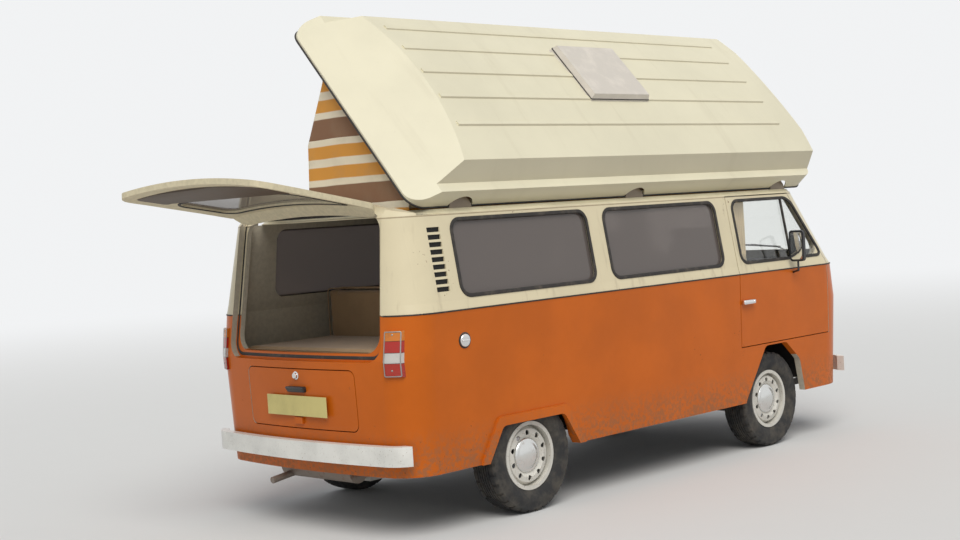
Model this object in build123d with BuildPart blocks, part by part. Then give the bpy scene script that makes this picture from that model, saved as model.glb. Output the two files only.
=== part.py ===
from build123d import *
import math
import os

# Camper van with a rear engine and a roof that lifts on side hinges.
# Lengths are millimetres and angles degrees. While it is built, X runs forward from the
# middle of the wheelbase, Y runs to the left and Z up from the ground.

# Wheels and axles
WHEELBASE = 2400
FRONT_TRACK = 1395
REAR_TRACK = 1455
TYRE_RADIUS = 318
TYRE_WIDTH = 184
TREAD_WIDTH = 150
FLANGE_RADIUS = 193
RIM_WIDTH = 140
BARREL_RADIUS = 172
RIM_WALL = 9
HUBCAP_RADIUS = 96
HUBCAP_DEPTH = 26
DISC_DEPTH = 26
VENT_COUNT = 10
VENT_RADIUS = 15
VENT_CIRCLE = 128
FRONT_AXLE = WHEELBASE / 2
REAR_AXLE = -WHEELBASE / 2
AXLE_HEIGHT = TYRE_RADIUS

# Body shell, measured on its outer skin at the heights where its sides bend
SILL = 335
NOSE = 950
BELT = 1183
LEDGE = 1236
GUTTER = 1697
ROOF_CAP = 1800
# height, half width, foremost point and rearmost point on the centre line
BODY_SECTIONS = [
    (SILL, 831, 2190, -2165),
    (NOSE, 851, 2232, -2188),
    (BELT, 859, 2192, -2156),
    (LEDGE, 846, 2153, -2148),
    (GUTTER, 771, 1848, -2083),
    (ROOF_CAP, 771, 1780, -1988),
]
FRONT_CORNER = 300
REAR_CORNER = 210
FRONT_BOW = 2300
REAR_BOW = 5000
WALL = 45
GLASS = 5
GLASS_DEPTH = 14
GAP = 6
TOUCH = 1

# Seams between the panels
REAR_SEAM = -1990
DOOR_REAR = 812
DOOR_FRONT = 1870
DOOR_BOTTOM = 702
PILLAR_BASE = 1215
PILLAR_LEAN = 0.672
SLIDING_REAR = -522
SLIDING_BOTTOM = 380

# Windows
WINDOW_SILL = 1254
WINDOW_TOP = 1664
WINDOW_CORNER = 65
MID_WINDOW = (-436, 675)
REAR_WINDOW = (-1691, -592)
DOOR_WINDOW_REAR = 870
DOOR_WINDOW_FRONT = 1816
SCREEN_BOTTOM = 1286
SCREEN_TOP = 1656
SCREEN_BOTTOM_HALF = 742
SCREEN_TOP_HALF = 652
SCREEN_CORNER = 85

# Tailgate and engine lid
TAILGATE_BOTTOM = 942
TAILGATE_TOP = 1762
TAILGATE_BOTTOM_HALF = 668
TAILGATE_TOP_HALF = 622
TAILGATE_CORNER = 95
TAILGATE_THICK = 30
TAILGATE_OPEN = 92.5
HINGE_DROP = 4
SWING_GAP = 6
TAILGATE_WINDOW = (1262, 1622)
TAILGATE_WINDOW_HALF = 540
TAILGATE_GLASS_CORNER = 70
JAMB = 42
LID_BOTTOM = 566
LID_TOP = 902
LID_HALF = 470
LID_CORNER = 45
LID_THICK = 22
GATE_GAP = 6
LID_JAMB_EDGE = 16
GATE_JAMB_EDGE = 22
GATE_JAMB_RIM = 18

# Wheel arches and the boxes inside them
ARCH_TOP = 690
REAR_ARCH_TOP = 524
REAR_ARCH_HALF_TOP = 250
REAR_ARCH_HALF_BOTTOM = 408
ARCH_LIP = 52
LIP_PROUD = 17
HOUSE_WALL = 8
FRONT_HOUSE = (845, 1565, 428, 700)
REAR_HOUSE = (-1570, -830, 598, 684)
POCKET_RADIUS = 346
POCKET_FACE = 828

# Floor
FLOOR_TOP = 450
FLOOR_THICK = 28
DECK_TOP = 884
DECK_THICK = 22
BULKHEAD = -1345
BULKHEAD_THICK = 16
DECK_REAR = -2120

# Elevating roof, with its own axes: along the van, across it from the hinge, and up
HINGE_Y = -700
RIM_HEIGHT = 1731
ROOF_OPEN = 49
ROOF_WIDTH = 1400
ROOF_REAR = -1900
ROOF_FRONT = 1905
ROOF_FRONT_BOW = 75
ROOF_CORNER = 100
ROOF_WALL = 8
STRIP_HEIGHT = 125
LEDGE_WIDTH = 60
BAND_WIDTH = 60
BAND_HEIGHT = 115
CROWN = 50
REAR_SLOPE = 400
REAR_LIP = 22
FRONT_ROLL = 95
RIB_PLACES = (365, 570, 770, 975, 1165)
RIB_ENDS = (-1480, 1640)
RIB_HALF_FOOT = 20
RIB_HALF_TOP = 12
RIB_PROUD = 8
VENT_ALONG = (-235, 370)
VENT_ACROSS = (530, 1035)
VENT_RISE = 58
VENT_TAPER = 22
POCKET_PLACES = (-1540, -40, 1520)
POCKET_HALF = 100
POCKET_HEIGHT = 78
RIM_GAP = 6
OPENING_ALONG = (-1800, 1600)
OPENING_ACROSS = (-610, 205)
OPENING_CORNER = 60
SHOULDER_HALF = 722

# Fabric walls under the raised roof
FABRIC = 6
FABRIC_ALONG = (-1852, 1652)
FABRIC_FOOT_RIGHT = -640
FABRIC_FOOT_LEFT = 240
FABRIC_SHOULDER = (216, 2133)
FABRIC_HEAD_ACROSS = 1085

# Bumpers
BUMPER_BOTTOM = 408
BUMPER_TOP = 512
BUMPER_HALF = 852
BUMPER_FRONT = 2262
BUMPER_REAR = -2243
BUMPER_BAR = 46
BUMPER_CORNER = 170
BUMPER_FRONT_END = 2062
BUMPER_REAR_END = -2108
BRACKET_PLACE = 360
BRACKET_HALF = 30


def corner_points(half_width, apex, corner, bow, side):
    """Gives where a rounded corner leaves the side, its middle and where it meets the bow."""
    turn = math.asin((half_width - corner) / (bow - corner))
    centre_x = abs(apex) - bow + (bow - corner) * math.cos(turn)
    centre_y = half_width - corner
    middle = (math.pi / 2 + turn) / 2
    return [
        (side * (centre_x + corner * math.cos(a)), centre_y + corner * math.sin(a))
        for a in (math.pi / 2, middle, turn)
    ]


def plan_edges(half_width, front, rear, corners, inset=0):
    """Draws a plan outline with bowed ends, moved inwards by the inset, as the edges of a line."""
    front_corner, rear_corner = corners
    w, nose, tail = half_width - inset, front - inset, rear + inset
    f = corner_points(w, nose, front_corner - inset, FRONT_BOW - inset, 1)
    r = corner_points(w, tail, rear_corner - inset, REAR_BOW - inset, -1)
    low_f = [(x, -y) for x, y in f]
    low_r = [(x, -y) for x, y in r]
    Line(r[0], f[0])
    ThreePointArc(f[0], f[1], f[2])
    ThreePointArc(f[2], (nose, 0), low_f[2])
    ThreePointArc(low_f[2], low_f[1], low_f[0])
    Line(low_f[0], low_r[0])
    ThreePointArc(low_r[0], low_r[1], low_r[2])
    ThreePointArc(low_r[2], (tail, 0), r[2])
    ThreePointArc(r[2], r[1], r[0])


def body_block(inset, sections=BODY_SECTIONS):
    """Makes the body as one solid block, with its skin moved inwards by the inset."""
    with BuildPart() as block:
        for height, half_width, front, rear in sections:
            with BuildSketch(Plane.XY.offset(height)):
                with BuildLine():
                    plan_edges(half_width, front, rear, (FRONT_CORNER, REAR_CORNER), inset)
                make_face()
        loft(ruled=True)
    return block.part


def side_prism(points, radius=0, inset=0, reach=1000):
    """Makes a bar across the whole van from an outline of (x, z) points."""
    with BuildPart() as bar:
        with BuildSketch(Plane.XZ) as face:
            with BuildLine():
                Polyline(*points, close=True)
            make_face()
            if inset:
                offset(amount=-inset, kind=Kind.INTERSECTION)
            if radius:
                fillet(face.vertices(), radius)
        extrude(amount=reach, both=True)
    return bar.part


def end_prism(points, radius, start, length, inset=0):
    """Makes a bar along the van from an outline of (y, z) points, from one X forwards."""
    with BuildPart() as bar:
        with BuildSketch(Plane.YZ.offset(start)) as face:
            with BuildLine():
                Polyline(*points, close=True)
            make_face()
            if inset:
                offset(amount=-inset, kind=Kind.INTERSECTION)
            if radius:
                fillet(face.vertices(), radius)
        extrude(amount=length)
    return bar.part


def box_between(x, y, z):
    """Makes a box from three pairs of limits."""
    with BuildPart(Plane(((x[0] + x[1]) / 2, (y[0] + y[1]) / 2, (z[0] + z[1]) / 2))) as box:
        Box(abs(x[1] - x[0]), abs(y[1] - y[0]), abs(z[1] - z[0]))
    return box.part


def rod_between(start, end, radius):
    """Makes a round bar from one point to another."""
    run = Vector(*end) - Vector(*start)
    with BuildPart() as rod:
        with BuildSketch(Plane(origin=start, z_dir=run)):
            Circle(radius)
        extrude(amount=run.length)
    return rod.part


def pair(y):
    """Gives the limits of a stretch of Y on both sides, right side first."""
    return [(-y[1], -y[0]), (y[0], y[1])]


LEFT = 1
RIGHT = -1
FAR = 3000
UP_TO_GUTTER = BODY_SECTIONS[:-1]
OUTER = body_block(0)
SIDES = body_block(0, UP_TO_GUTTER)
INNER = body_block(WALL, UP_TO_GUTTER)
SHELL = SIDES - INNER
GLASS_SKIN = body_block(GLASS_DEPTH) - body_block(GLASS_DEPTH + GLASS)


def half(side):
    """Makes a block that holds one side of the van."""
    return box_between((-FAR, FAR), (0, side * FAR), (0, FAR))


SIDE_SHELL = {side: SHELL & half(side) for side in (LEFT, RIGHT)}
SIDE_GLASS = {side: GLASS_SKIN & half(side) for side in (LEFT, RIGHT)}

# Outlines shared by an opening and what fills it, as (x, z) or (y, z) points
pillar_top = DOOR_FRONT - PILLAR_LEAN * (GUTTER - PILLAR_BASE)
window_pillar_top = DOOR_WINDOW_FRONT - PILLAR_LEAN * (WINDOW_TOP - WINDOW_SILL)
DOOR_OUTLINE = [
    (DOOR_REAR, DOOR_BOTTOM),
    (DOOR_FRONT, DOOR_BOTTOM),
    (DOOR_FRONT, PILLAR_BASE),
    (pillar_top, GUTTER),
    (DOOR_REAR, GUTTER),
]
SIDE_OUTLINE = [
    (REAR_SEAM, SILL - 10),
    (DOOR_FRONT, SILL - 10),
    (DOOR_FRONT, DOOR_BOTTOM),
    (DOOR_REAR, DOOR_BOTTOM),
    (DOOR_REAR, GUTTER + 10),
    (REAR_SEAM, GUTTER + 10),
]
FRONT_OUTLINE = [
    (DOOR_FRONT, SILL - 10),
    (FAR, SILL - 10),
    (FAR, GUTTER + 10),
    (pillar_top - 10 * PILLAR_LEAN, GUTTER + 10),
    (DOOR_FRONT, PILLAR_BASE),
]
SLIDING_OUTLINE = [
    (SLIDING_REAR, SLIDING_BOTTOM),
    (DOOR_REAR - 2, SLIDING_BOTTOM),
    (DOOR_REAR - 2, GUTTER + 10),
    (SLIDING_REAR, GUTTER + 10),
]
DOOR_WINDOW = [
    (DOOR_WINDOW_REAR, WINDOW_SILL),
    (DOOR_WINDOW_FRONT, WINDOW_SILL),
    (window_pillar_top, WINDOW_TOP),
    (DOOR_WINDOW_REAR, WINDOW_TOP),
]
SCREEN = [
    (-SCREEN_BOTTOM_HALF, SCREEN_BOTTOM),
    (SCREEN_BOTTOM_HALF, SCREEN_BOTTOM),
    (SCREEN_TOP_HALF, SCREEN_TOP),
    (-SCREEN_TOP_HALF, SCREEN_TOP),
]
TAILGATE_OUTLINE = [
    (-TAILGATE_BOTTOM_HALF, TAILGATE_BOTTOM),
    (TAILGATE_BOTTOM_HALF, TAILGATE_BOTTOM),
    (TAILGATE_TOP_HALF, TAILGATE_TOP),
    (-TAILGATE_TOP_HALF, TAILGATE_TOP),
]
TAILGATE_GLASS_OUTLINE = [
    (-TAILGATE_WINDOW_HALF, TAILGATE_WINDOW[0]),
    (TAILGATE_WINDOW_HALF, TAILGATE_WINDOW[0]),
    (TAILGATE_WINDOW_HALF - 22, TAILGATE_WINDOW[1]),
    (22 - TAILGATE_WINDOW_HALF, TAILGATE_WINDOW[1]),
]
LID_OUTLINE = [
    (-LID_HALF, LID_BOTTOM),
    (LID_HALF, LID_BOTTOM),
    (LID_HALF, LID_TOP),
    (-LID_HALF, LID_TOP),
]


def window_box(limits):
    """Gives the outline of a side window from where it starts and ends along the van."""
    start, end = limits
    return [(start, WINDOW_SILL), (end, WINDOW_SILL), (end, WINDOW_TOP), (start, WINDOW_TOP)]


def arch_outline(extra):
    """Gives the outline of the rear wheel arch, grown outwards by some width."""
    return [
        (REAR_AXLE - REAR_ARCH_HALF_BOTTOM - extra, SILL - 60),
        (REAR_AXLE - REAR_ARCH_HALF_TOP - extra * 0.6, REAR_ARCH_TOP + extra),
        (REAR_AXLE + REAR_ARCH_HALF_TOP + extra * 0.6, REAR_ARCH_TOP + extra),
        (REAR_AXLE + REAR_ARCH_HALF_BOTTOM + extra, SILL - 60),
    ]


mid_hole = side_prism(window_box(MID_WINDOW), WINDOW_CORNER)
rear_hole = side_prism(window_box(REAR_WINDOW), WINDOW_CORNER)
door_hole = side_prism(DOOR_WINDOW, WINDOW_CORNER)
screen_hole = end_prism(SCREEN, SCREEN_CORNER, 1500, 1000)
tailgate_slot = end_prism(TAILGATE_OUTLINE, TAILGATE_CORNER, -FAR, 2000)
tailgate_hole = end_prism(TAILGATE_OUTLINE, TAILGATE_CORNER, -FAR, 2000, JAMB)
lid_slot = end_prism(LID_OUTLINE, LID_CORNER, -FAR, 1500)
lid_hole = end_prism(LID_OUTLINE, LID_CORNER, -FAR, 1500, JAMB)
lid_jamb_outer = end_prism(LID_OUTLINE, LID_CORNER, -FAR, 1500, -LID_JAMB_EDGE)
lid_jamb = (body_block(LID_THICK + GATE_GAP) & lid_jamb_outer) - body_block(WALL + LID_JAMB_EDGE)
lid_jamb = lid_jamb & box_between((-FAR, REAR_SEAM), (-FAR, FAR), (0, FAR))
FRONT_ARCH = [
    (FRONT_AXLE - 400, SILL - 60),
    (FRONT_AXLE - 110, ARCH_TOP),
    (FRONT_AXLE + 130, ARCH_TOP),
    (FRONT_AXLE + 290, 560),
    (FRONT_AXLE + 362, SILL - 60),
]
front_arch_hole = side_prism(FRONT_ARCH, 55)
rear_arch_hole = side_prism(arch_outline(0), 45)

# Underbody
with BuildPart() as floor_pan:
    add(box_between((BULKHEAD, FAR), (-FAR, FAR), (FLOOR_TOP - FLOOR_THICK, FLOOR_TOP)))
    add(box_between((DECK_REAR, BULKHEAD + 1), (-FAR, FAR), (DECK_TOP - DECK_THICK, DECK_TOP)))
    wall_foot = FLOOR_TOP - FLOOR_THICK
    add(box_between((BULKHEAD, BULKHEAD + BULKHEAD_THICK), (-FAR, FAR), (wall_foot, DECK_TOP)))
    for house in (FRONT_HOUSE, REAR_HOUSE):
        for y in pair((house[2] - HOUSE_WALL, FAR)):
            ends = (house[0] - HOUSE_WALL, house[1] + HOUSE_WALL)
            add(box_between(ends, y, (wall_foot, house[3] + HOUSE_WALL)))
    add(INNER, mode=Mode.INTERSECT)
    for house in (FRONT_HOUSE, REAR_HOUSE):
        for y in pair((house[2], FAR)):
            add(box_between((house[0], house[1]), y, (0, house[3])), mode=Mode.SUBTRACT)
    add(lid_jamb, mode=Mode.SUBTRACT)

RAIL_PLACE = 380
RAIL_HALF = 36
RAIL_BOTTOM = 350
RAIL_FRONT = 2040
CROSS_PLACES = (-1240, -640, -20, 600, 1940)
ARM_PLACES = (-640, -20, 600)
ARM_END = 770
ARM_BOTTOM = RAIL_BOTTOM + 22
JACK_PLACES = (ARM_PLACES[0], ARM_PLACES[2])
JACK_ACROSS = 745
JACK_PAD = 56
JACK_DROP = 22
EYE_PLACE = (2178, 307)
EYE_BORE = 15
EYE_PLATE = (284, 330)
EYE_HALF = 6
EYE_REAR = 1950
with BuildPart() as chassis_frame:
    for y in pair((RAIL_PLACE - RAIL_HALF, RAIL_PLACE + RAIL_HALF)):
        add(box_between((BULKHEAD, RAIL_FRONT), y, (RAIL_BOTTOM, wall_foot)))
    for x in CROSS_PLACES:
        y = (-RAIL_PLACE, RAIL_PLACE)
        add(box_between((x - 30, x + 30), y, (RAIL_BOTTOM + 12, wall_foot)))
    for x in ARM_PLACES:
        for y in pair((RAIL_PLACE, ARM_END)):
            add(box_between((x - 26, x + 26), y, (ARM_BOTTOM, wall_foot)))
    jack_spots = [(x, side * JACK_ACROSS) for x in JACK_PLACES for side in (LEFT, RIGHT)]
    with BuildSketch(Plane.XY.offset(ARM_BOTTOM - JACK_DROP)):
        with Locations(*jack_spots):
            Rectangle(JACK_PAD, ARM_END * 2 - JACK_ACROSS * 2)
    extrude(amount=JACK_DROP + 5)
    eye_across = (-RAIL_PLACE - EYE_HALF, -RAIL_PLACE + EYE_HALF)
    eye_front = EYE_PLACE[0] + EYE_BORE + 10
    add(box_between((EYE_REAR, eye_front), eye_across, EYE_PLATE))
    add(box_between((EYE_REAR, RAIL_FRONT - 5), eye_across, (EYE_PLATE[1] - 5, RAIL_BOTTOM + 5)))
    with BuildSketch(Plane.XZ.offset(RAIL_PLACE + 30)):
        with Locations(EYE_PLACE):
            Circle(EYE_BORE)
    extrude(amount=-60, mode=Mode.SUBTRACT)

# Side panels, with the doorways left open
def reach(side, near, far):
    """Gives the limits in Y of a stretch beside the middle on one side."""
    return (side * near, side * far)


LOUVRES = 9
LOUVRE_ALONG = (-1868, -1776)
LOUVRE_BOTTOM = 1287.5
LOUVRE_PITCH = 39.5
LOUVRE_HEIGHT = 26
LOUVRE_DEPTH = 24
with BuildPart() as louvre_slots:
    for row in range(LOUVRES):
        low = LOUVRE_BOTTOM + row * LOUVRE_PITCH
        add(box_between(LOUVRE_ALONG, (-FAR, FAR), (low, low + LOUVRE_HEIGHT)))
    add(body_block(LOUVRE_DEPTH), mode=Mode.SUBTRACT)


def side_wall(side):
    """Makes one fixed side with its windows, arches, air louvres and wheel pocket."""
    with BuildPart() as wall:
        add(SIDE_SHELL[side])
        add(side_prism(SIDE_OUTLINE), mode=Mode.INTERSECT)
        for hole in (mid_hole, rear_hole, front_arch_hole, rear_arch_hole, louvre_slots.part):
            add(hole, mode=Mode.SUBTRACT)
        hub = Plane(origin=(REAR_AXLE, 0, AXLE_HEIGHT), z_dir=(0, side, 0))
        with BuildSketch(hub):
            Circle(POCKET_RADIUS)
        extrude(amount=POCKET_FACE, mode=Mode.SUBTRACT)
        lip = side_prism(arch_outline(ARCH_LIP), 45) - side_prism(arch_outline(0), 45)
        lip = lip & box_between((-FAR, FAR), reach(side, POCKET_FACE, BUMPER_HALF), (SILL, NOSE))
        add(lip)
    return wall.part


with BuildPart() as side_panel_right:
    add(side_wall(RIGHT))

with BuildPart() as side_panel_left:
    add(side_wall(LEFT))
    add(side_prism(SLIDING_OUTLINE), mode=Mode.SUBTRACT)

HANDLE_PLACE = (820, 940)
HANDLE_HEIGHT = 1000
HANDLE_SIZE = 24
HANDLE_PROUD = 30


def handle(side, along):
    """Makes a door handle that stands on the skin of one side."""
    low = HANDLE_HEIGHT - HANDLE_SIZE / 2
    grip = box_between(along, reach(side, 700, FAR), (low, low + HANDLE_SIZE))
    return (grip & body_block(-HANDLE_PROUD)) - OUTER


with BuildPart() as sliding_door:
    add(SIDE_SHELL[LEFT])
    add(side_prism(SLIDING_OUTLINE, inset=GAP), mode=Mode.INTERSECT)
    add(box_between((-FAR, FAR), (0, FAR), (0, GUTTER - GAP)), mode=Mode.INTERSECT)
    add(mid_hole, mode=Mode.SUBTRACT)
    add(handle(LEFT, (690, 800)))


def cab_door(side):
    """Makes one cab door, as thick as the body side, with its window cut and its handle."""
    with BuildPart() as door:
        add(SIDE_SHELL[side])
        add(side_prism(DOOR_OUTLINE, inset=GAP), mode=Mode.INTERSECT)
        add(door_hole, mode=Mode.SUBTRACT)
        add(handle(side, HANDLE_PLACE))
    return door.part


MIRROR_PLACE = (1400, 926)
MIRROR_SIZE = (24, 112, 210)
MIRROR_HEIGHT = 1335
MIRROR_ARM = 7
MIRROR_FOOT = (1455, 1150)


def door_mirror(side):
    """Makes the outside mirror with the arm that carries it from the door skin."""
    with BuildPart() as mirror:
        with BuildSketch(Plane.YZ.offset(MIRROR_PLACE[0] - MIRROR_SIZE[0] / 2)):
            with Locations((side * MIRROR_PLACE[1], MIRROR_HEIGHT)):
                RectangleRounded(MIRROR_SIZE[1], MIRROR_SIZE[2], 24)
        extrude(amount=MIRROR_SIZE[0])
        head = (MIRROR_PLACE[0], side * MIRROR_PLACE[1], MIRROR_HEIGHT - MIRROR_SIZE[2] / 4)
        knee = (MIRROR_PLACE[0], side * MIRROR_PLACE[1], MIRROR_FOOT[1] + 20)
        add(rod_between(head, knee, MIRROR_ARM))
        add(rod_between(knee, (MIRROR_FOOT[0], side * 830, MIRROR_FOOT[1]), MIRROR_ARM))
        with Locations(knee):
            Sphere(MIRROR_ARM)
        add(OUTER, mode=Mode.SUBTRACT)
    return mirror.part


def door_pane(side):
    """Makes the glass of one cab door."""
    with BuildPart() as pane:
        add(SIDE_GLASS[side])
        add(door_hole, mode=Mode.INTERSECT)
    return pane.part


with BuildPart() as cab_door_right:
    add(cab_door(RIGHT))

with BuildPart() as cab_door_left:
    add(cab_door(LEFT))

with BuildPart() as door_glass_right:
    add(door_pane(RIGHT))

with BuildPart() as door_glass_left:
    add(door_pane(LEFT))

with BuildPart() as mirror_right:
    add(door_mirror(RIGHT))

with BuildPart() as mirror_left:
    add(door_mirror(LEFT))

with BuildPart() as side_windows:
    for side in (LEFT, RIGHT):
        for hole in (mid_hole, rear_hole):
            add(SIDE_GLASS[side] & hole)

# Nose, with the windscreen pillars and what is let into it
LAMP_PLACE = (560, 812)
LAMP_RADIUS = 92
LAMP_PROUD = 10
LAMP_DEPTH = 60
SIGNAL_ACROSS = (452, 596)
SIGNAL_HEIGHTS = (1082, 1142)
SIGNAL_DEPTH = 26
GRILLE_HALF = 404
GRILLE_HEIGHTS = (1078, 1146)
GRILLE_BARS = 4
GRILLE_SLOT = 9


def patch(proud, depth, x, y, z):
    """Makes a skin that follows the body, from proud of it to some depth, within limits."""
    return (body_block(-proud) & box_between(x, y, z)) - body_block(depth)


with BuildPart() as front_signals:
    for y in pair(SIGNAL_ACROSS):
        add(patch(8, SIGNAL_DEPTH, (1500, FAR), y, SIGNAL_HEIGHTS))

with BuildPart() as air_grille:
    add(patch(5, 15, (1500, FAR), (-GRILLE_HALF, GRILLE_HALF), GRILLE_HEIGHTS))
    pitch = (GRILLE_HEIGHTS[1] - GRILLE_HEIGHTS[0]) / GRILLE_BARS
    for row in range(GRILLE_BARS):
        middle = GRILLE_HEIGHTS[0] + (row + 0.5) * pitch
        slot = (middle - GRILLE_SLOT / 2, middle + GRILLE_SLOT / 2)
        for y in ((10 - GRILLE_HALF, -6), (6, GRILLE_HALF - 10)):
            bite = box_between((1500, FAR), y, slot) - body_block(6)
            add(bite, mode=Mode.SUBTRACT)

lamp_face = corner_points(853, 2211, FRONT_CORNER, FRONT_BOW, 1)[2][0] + LAMP_PROUD
with BuildPart() as headlamps:
    with BuildSketch(Plane.YZ.offset(lamp_face + 22)) as lamp_rings:
        with Locations((-LAMP_PLACE[0], LAMP_PLACE[1]), (LAMP_PLACE[0], LAMP_PLACE[1])):
            Circle(LAMP_RADIUS)
    extrude(amount=-LAMP_DEPTH)
    fillet(headlamps.faces().group_by(Axis.X)[-1].edges(), 20)

with BuildPart() as front_panel:
    add(SHELL)
    add(side_prism(FRONT_OUTLINE), mode=Mode.INTERSECT)
    add(screen_hole, mode=Mode.SUBTRACT)
    with BuildSketch(Plane.YZ.offset(lamp_face + 22 - LAMP_DEPTH)):
        with Locations((-LAMP_PLACE[0], LAMP_PLACE[1]), (LAMP_PLACE[0], LAMP_PLACE[1])):
            Circle(LAMP_RADIUS)
    extrude(amount=LAMP_DEPTH * 2, mode=Mode.SUBTRACT)
    for y in pair(SIGNAL_ACROSS):
        add(patch(0, SIGNAL_DEPTH, (1500, FAR), y, SIGNAL_HEIGHTS), mode=Mode.SUBTRACT)
    mouth = patch(0, 15, (1500, FAR), (-GRILLE_HALF, GRILLE_HALF), GRILLE_HEIGHTS)
    add(mouth, mode=Mode.SUBTRACT)

with BuildPart() as windscreen:
    add(GLASS_SKIN)
    add(screen_hole, mode=Mode.INTERSECT)

# Rear, with the frames that the tailgate and the engine lid close against
crown_rise = ROOF_CAP - GUTTER - 3
with BuildPart() as cap_crown:
    with BuildSketch(Plane.YZ.offset(-FAR)):
        with BuildLine():
            ThreePointArc((-790, GUTTER + 4), (0, GUTTER + crown_rise), (790, GUTTER + 4))
            Polyline((790, GUTTER + 4), (790, 0), (-790, 0), (-790, GUTTER + 4))
        make_face()
    extrude(amount=FAR * 2)
TAIL_LAMP_ACROSS = (694, 786)
TAIL_LAMP_HEIGHTS = (868, 1108)
TAIL_LAMP_DEPTH = 24
CAP_FRONT = ROOF_REAR - 12

with BuildPart() as tail_lamps:
    for y in pair(TAIL_LAMP_ACROSS):
        add(patch(14, TAIL_LAMP_DEPTH, (-FAR, -1990), y, TAIL_LAMP_HEIGHTS))

gate_gap = end_prism(TAILGATE_OUTLINE, TAILGATE_CORNER - GATE_GAP, -FAR, 2000, GATE_GAP)
gate_pane = end_prism(TAILGATE_GLASS_OUTLINE, TAILGATE_GLASS_CORNER, -FAR, 2000)
hinge_share = (TAILGATE_TOP - GUTTER) / (ROOF_CAP - GUTTER)
hinge_x = BODY_SECTIONS[4][3] + hinge_share * (BODY_SECTIONS[5][3] - BODY_SECTIONS[4][3]) - HINGE_DROP
TAILGATE_HINGE = Axis((hinge_x, 0, TAILGATE_TOP - HINGE_DROP), (0, 1, 0))
with BuildPart() as closed_tailgate:
    add(OUTER - body_block(TAILGATE_THICK))
    add(gate_gap, mode=Mode.INTERSECT)
    add(cap_crown.part, mode=Mode.INTERSECT)
    add(gate_pane, mode=Mode.SUBTRACT)
# The tailgate's inner top edge swings through this quarter of a cylinder as it shuts
hinge_z = TAILGATE_TOP - HINGE_DROP
top_edge = closed_tailgate.part.vertices().filter_by(lambda v: v.Z > hinge_z - GATE_GAP)
swing = max(math.hypot(v.X - hinge_x, v.Z - hinge_z) for v in top_edge) + SWING_GAP
with BuildPart() as gate_swing:
    with BuildSketch(Plane.XZ.offset(-TAILGATE_TOP_HALF)):
        with Locations((hinge_x, hinge_z)):
            Circle(swing)
    extrude(amount=2 * TAILGATE_TOP_HALF)
    add(box_between((hinge_x, FAR), (-FAR, FAR), (0, hinge_z)), mode=Mode.INTERSECT)
jamb_outer = end_prism(TAILGATE_OUTLINE, TAILGATE_CORNER, -FAR, 2000, -GATE_JAMB_RIM)
with BuildPart() as rear_panel:
    add(SHELL)
    add(box_between((-FAR, REAR_SEAM), (-FAR, FAR), (0, FAR)), mode=Mode.INTERSECT)
    add(lid_slot, mode=Mode.SUBTRACT)
    cap = body_block(0, BODY_SECTIONS[-2:])
    cap = cap & box_between((-FAR, CAP_FRONT), (-FAR, FAR), (0, FAR))
    add((cap & cap_crown.part) - body_block(WALL * 3, BODY_SECTIONS[-2:]))
    add(tailgate_slot, mode=Mode.SUBTRACT)
    gate_jamb = (body_block(TAILGATE_THICK + GATE_GAP) & jamb_outer) - body_block(WALL + GATE_JAMB_EDGE)
    gate_jamb = (gate_jamb & cap_crown.part) & box_between((-FAR, CAP_FRONT), (-FAR, FAR), (0, FAR))
    add(gate_jamb - box_between((REAR_SEAM, FAR), (-FAR, FAR), (0, GUTTER)))
    add(lid_jamb)
    add(tailgate_hole, mode=Mode.SUBTRACT)
    add(gate_swing.part, mode=Mode.SUBTRACT)
    add(lid_hole, mode=Mode.SUBTRACT)
    for y in pair(TAIL_LAMP_ACROSS):
        lamp_seat = patch(0, TAIL_LAMP_DEPTH, (-FAR, -1990), y, TAIL_LAMP_HEIGHTS)
        add(lamp_seat, mode=Mode.SUBTRACT)

with BuildPart() as closed_pane:
    add(GLASS_SKIN)
    add(gate_pane, mode=Mode.INTERSECT)
with BuildPart() as tailgate:
    add(closed_tailgate.part.rotate(TAILGATE_HINGE, TAILGATE_OPEN))
with BuildPart() as tailgate_glass:
    add(closed_pane.part.rotate(TAILGATE_HINGE, TAILGATE_OPEN))

lid_gap = end_prism(LID_OUTLINE, LID_CORNER - GATE_GAP, -FAR, 1500, GATE_GAP)
with BuildPart() as engine_lid:
    add(OUTER - body_block(LID_THICK))
    add(lid_gap, mode=Mode.INTERSECT)
    latch = box_between((-FAR, -1990), (-34, 34), (LID_BOTTOM + 30, LID_BOTTOM + 66))
    add((latch & body_block(-14)) - OUTER)

# Fixed roof round the opening, with its gutter, and the roof that lifts
GUTTER_PROUD = 13
GUTTER_HEIGHT = 9
shoulder_top = RIM_HEIGHT - RIM_GAP
shoulder_front = BODY_SECTIONS[4][2] + 22
with BuildPart() as roof_surround:
    with BuildSketch(Plane.XY.offset(GUTTER)):
        with BuildLine():
            plan_edges(BODY_SECTIONS[4][1], BODY_SECTIONS[4][2], CAP_FRONT, (FRONT_CORNER, REAR_CORNER))
        make_face()
    with BuildSketch(Plane.XY.offset(shoulder_top)):
        with BuildLine():
            plan_edges(SHOULDER_HALF, shoulder_front, CAP_FRONT, (FRONT_CORNER, REAR_CORNER))
        make_face()
    loft(ruled=True)
    with BuildSketch(Plane.XY.offset(GUTTER - 2)) as hatch:
        with Locations((sum(OPENING_ALONG) / 2, sum(OPENING_ACROSS) / 2)):
            width = OPENING_ALONG[1] - OPENING_ALONG[0]
            RectangleRounded(width, OPENING_ACROSS[1] - OPENING_ACROSS[0], OPENING_CORNER)
    extrude(amount=100, mode=Mode.SUBTRACT)

# The lifting roof is drawn in axes that turn with it: X along, Y across from the hinge, Z up
tilt = math.radians(ROOF_OPEN)
ROOF_FLOOR = Plane(
    origin=(0, HINGE_Y, RIM_HEIGHT),
    x_dir=(1, 0, 0),
    z_dir=(0, -math.sin(tilt), math.cos(tilt)),
)


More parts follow.
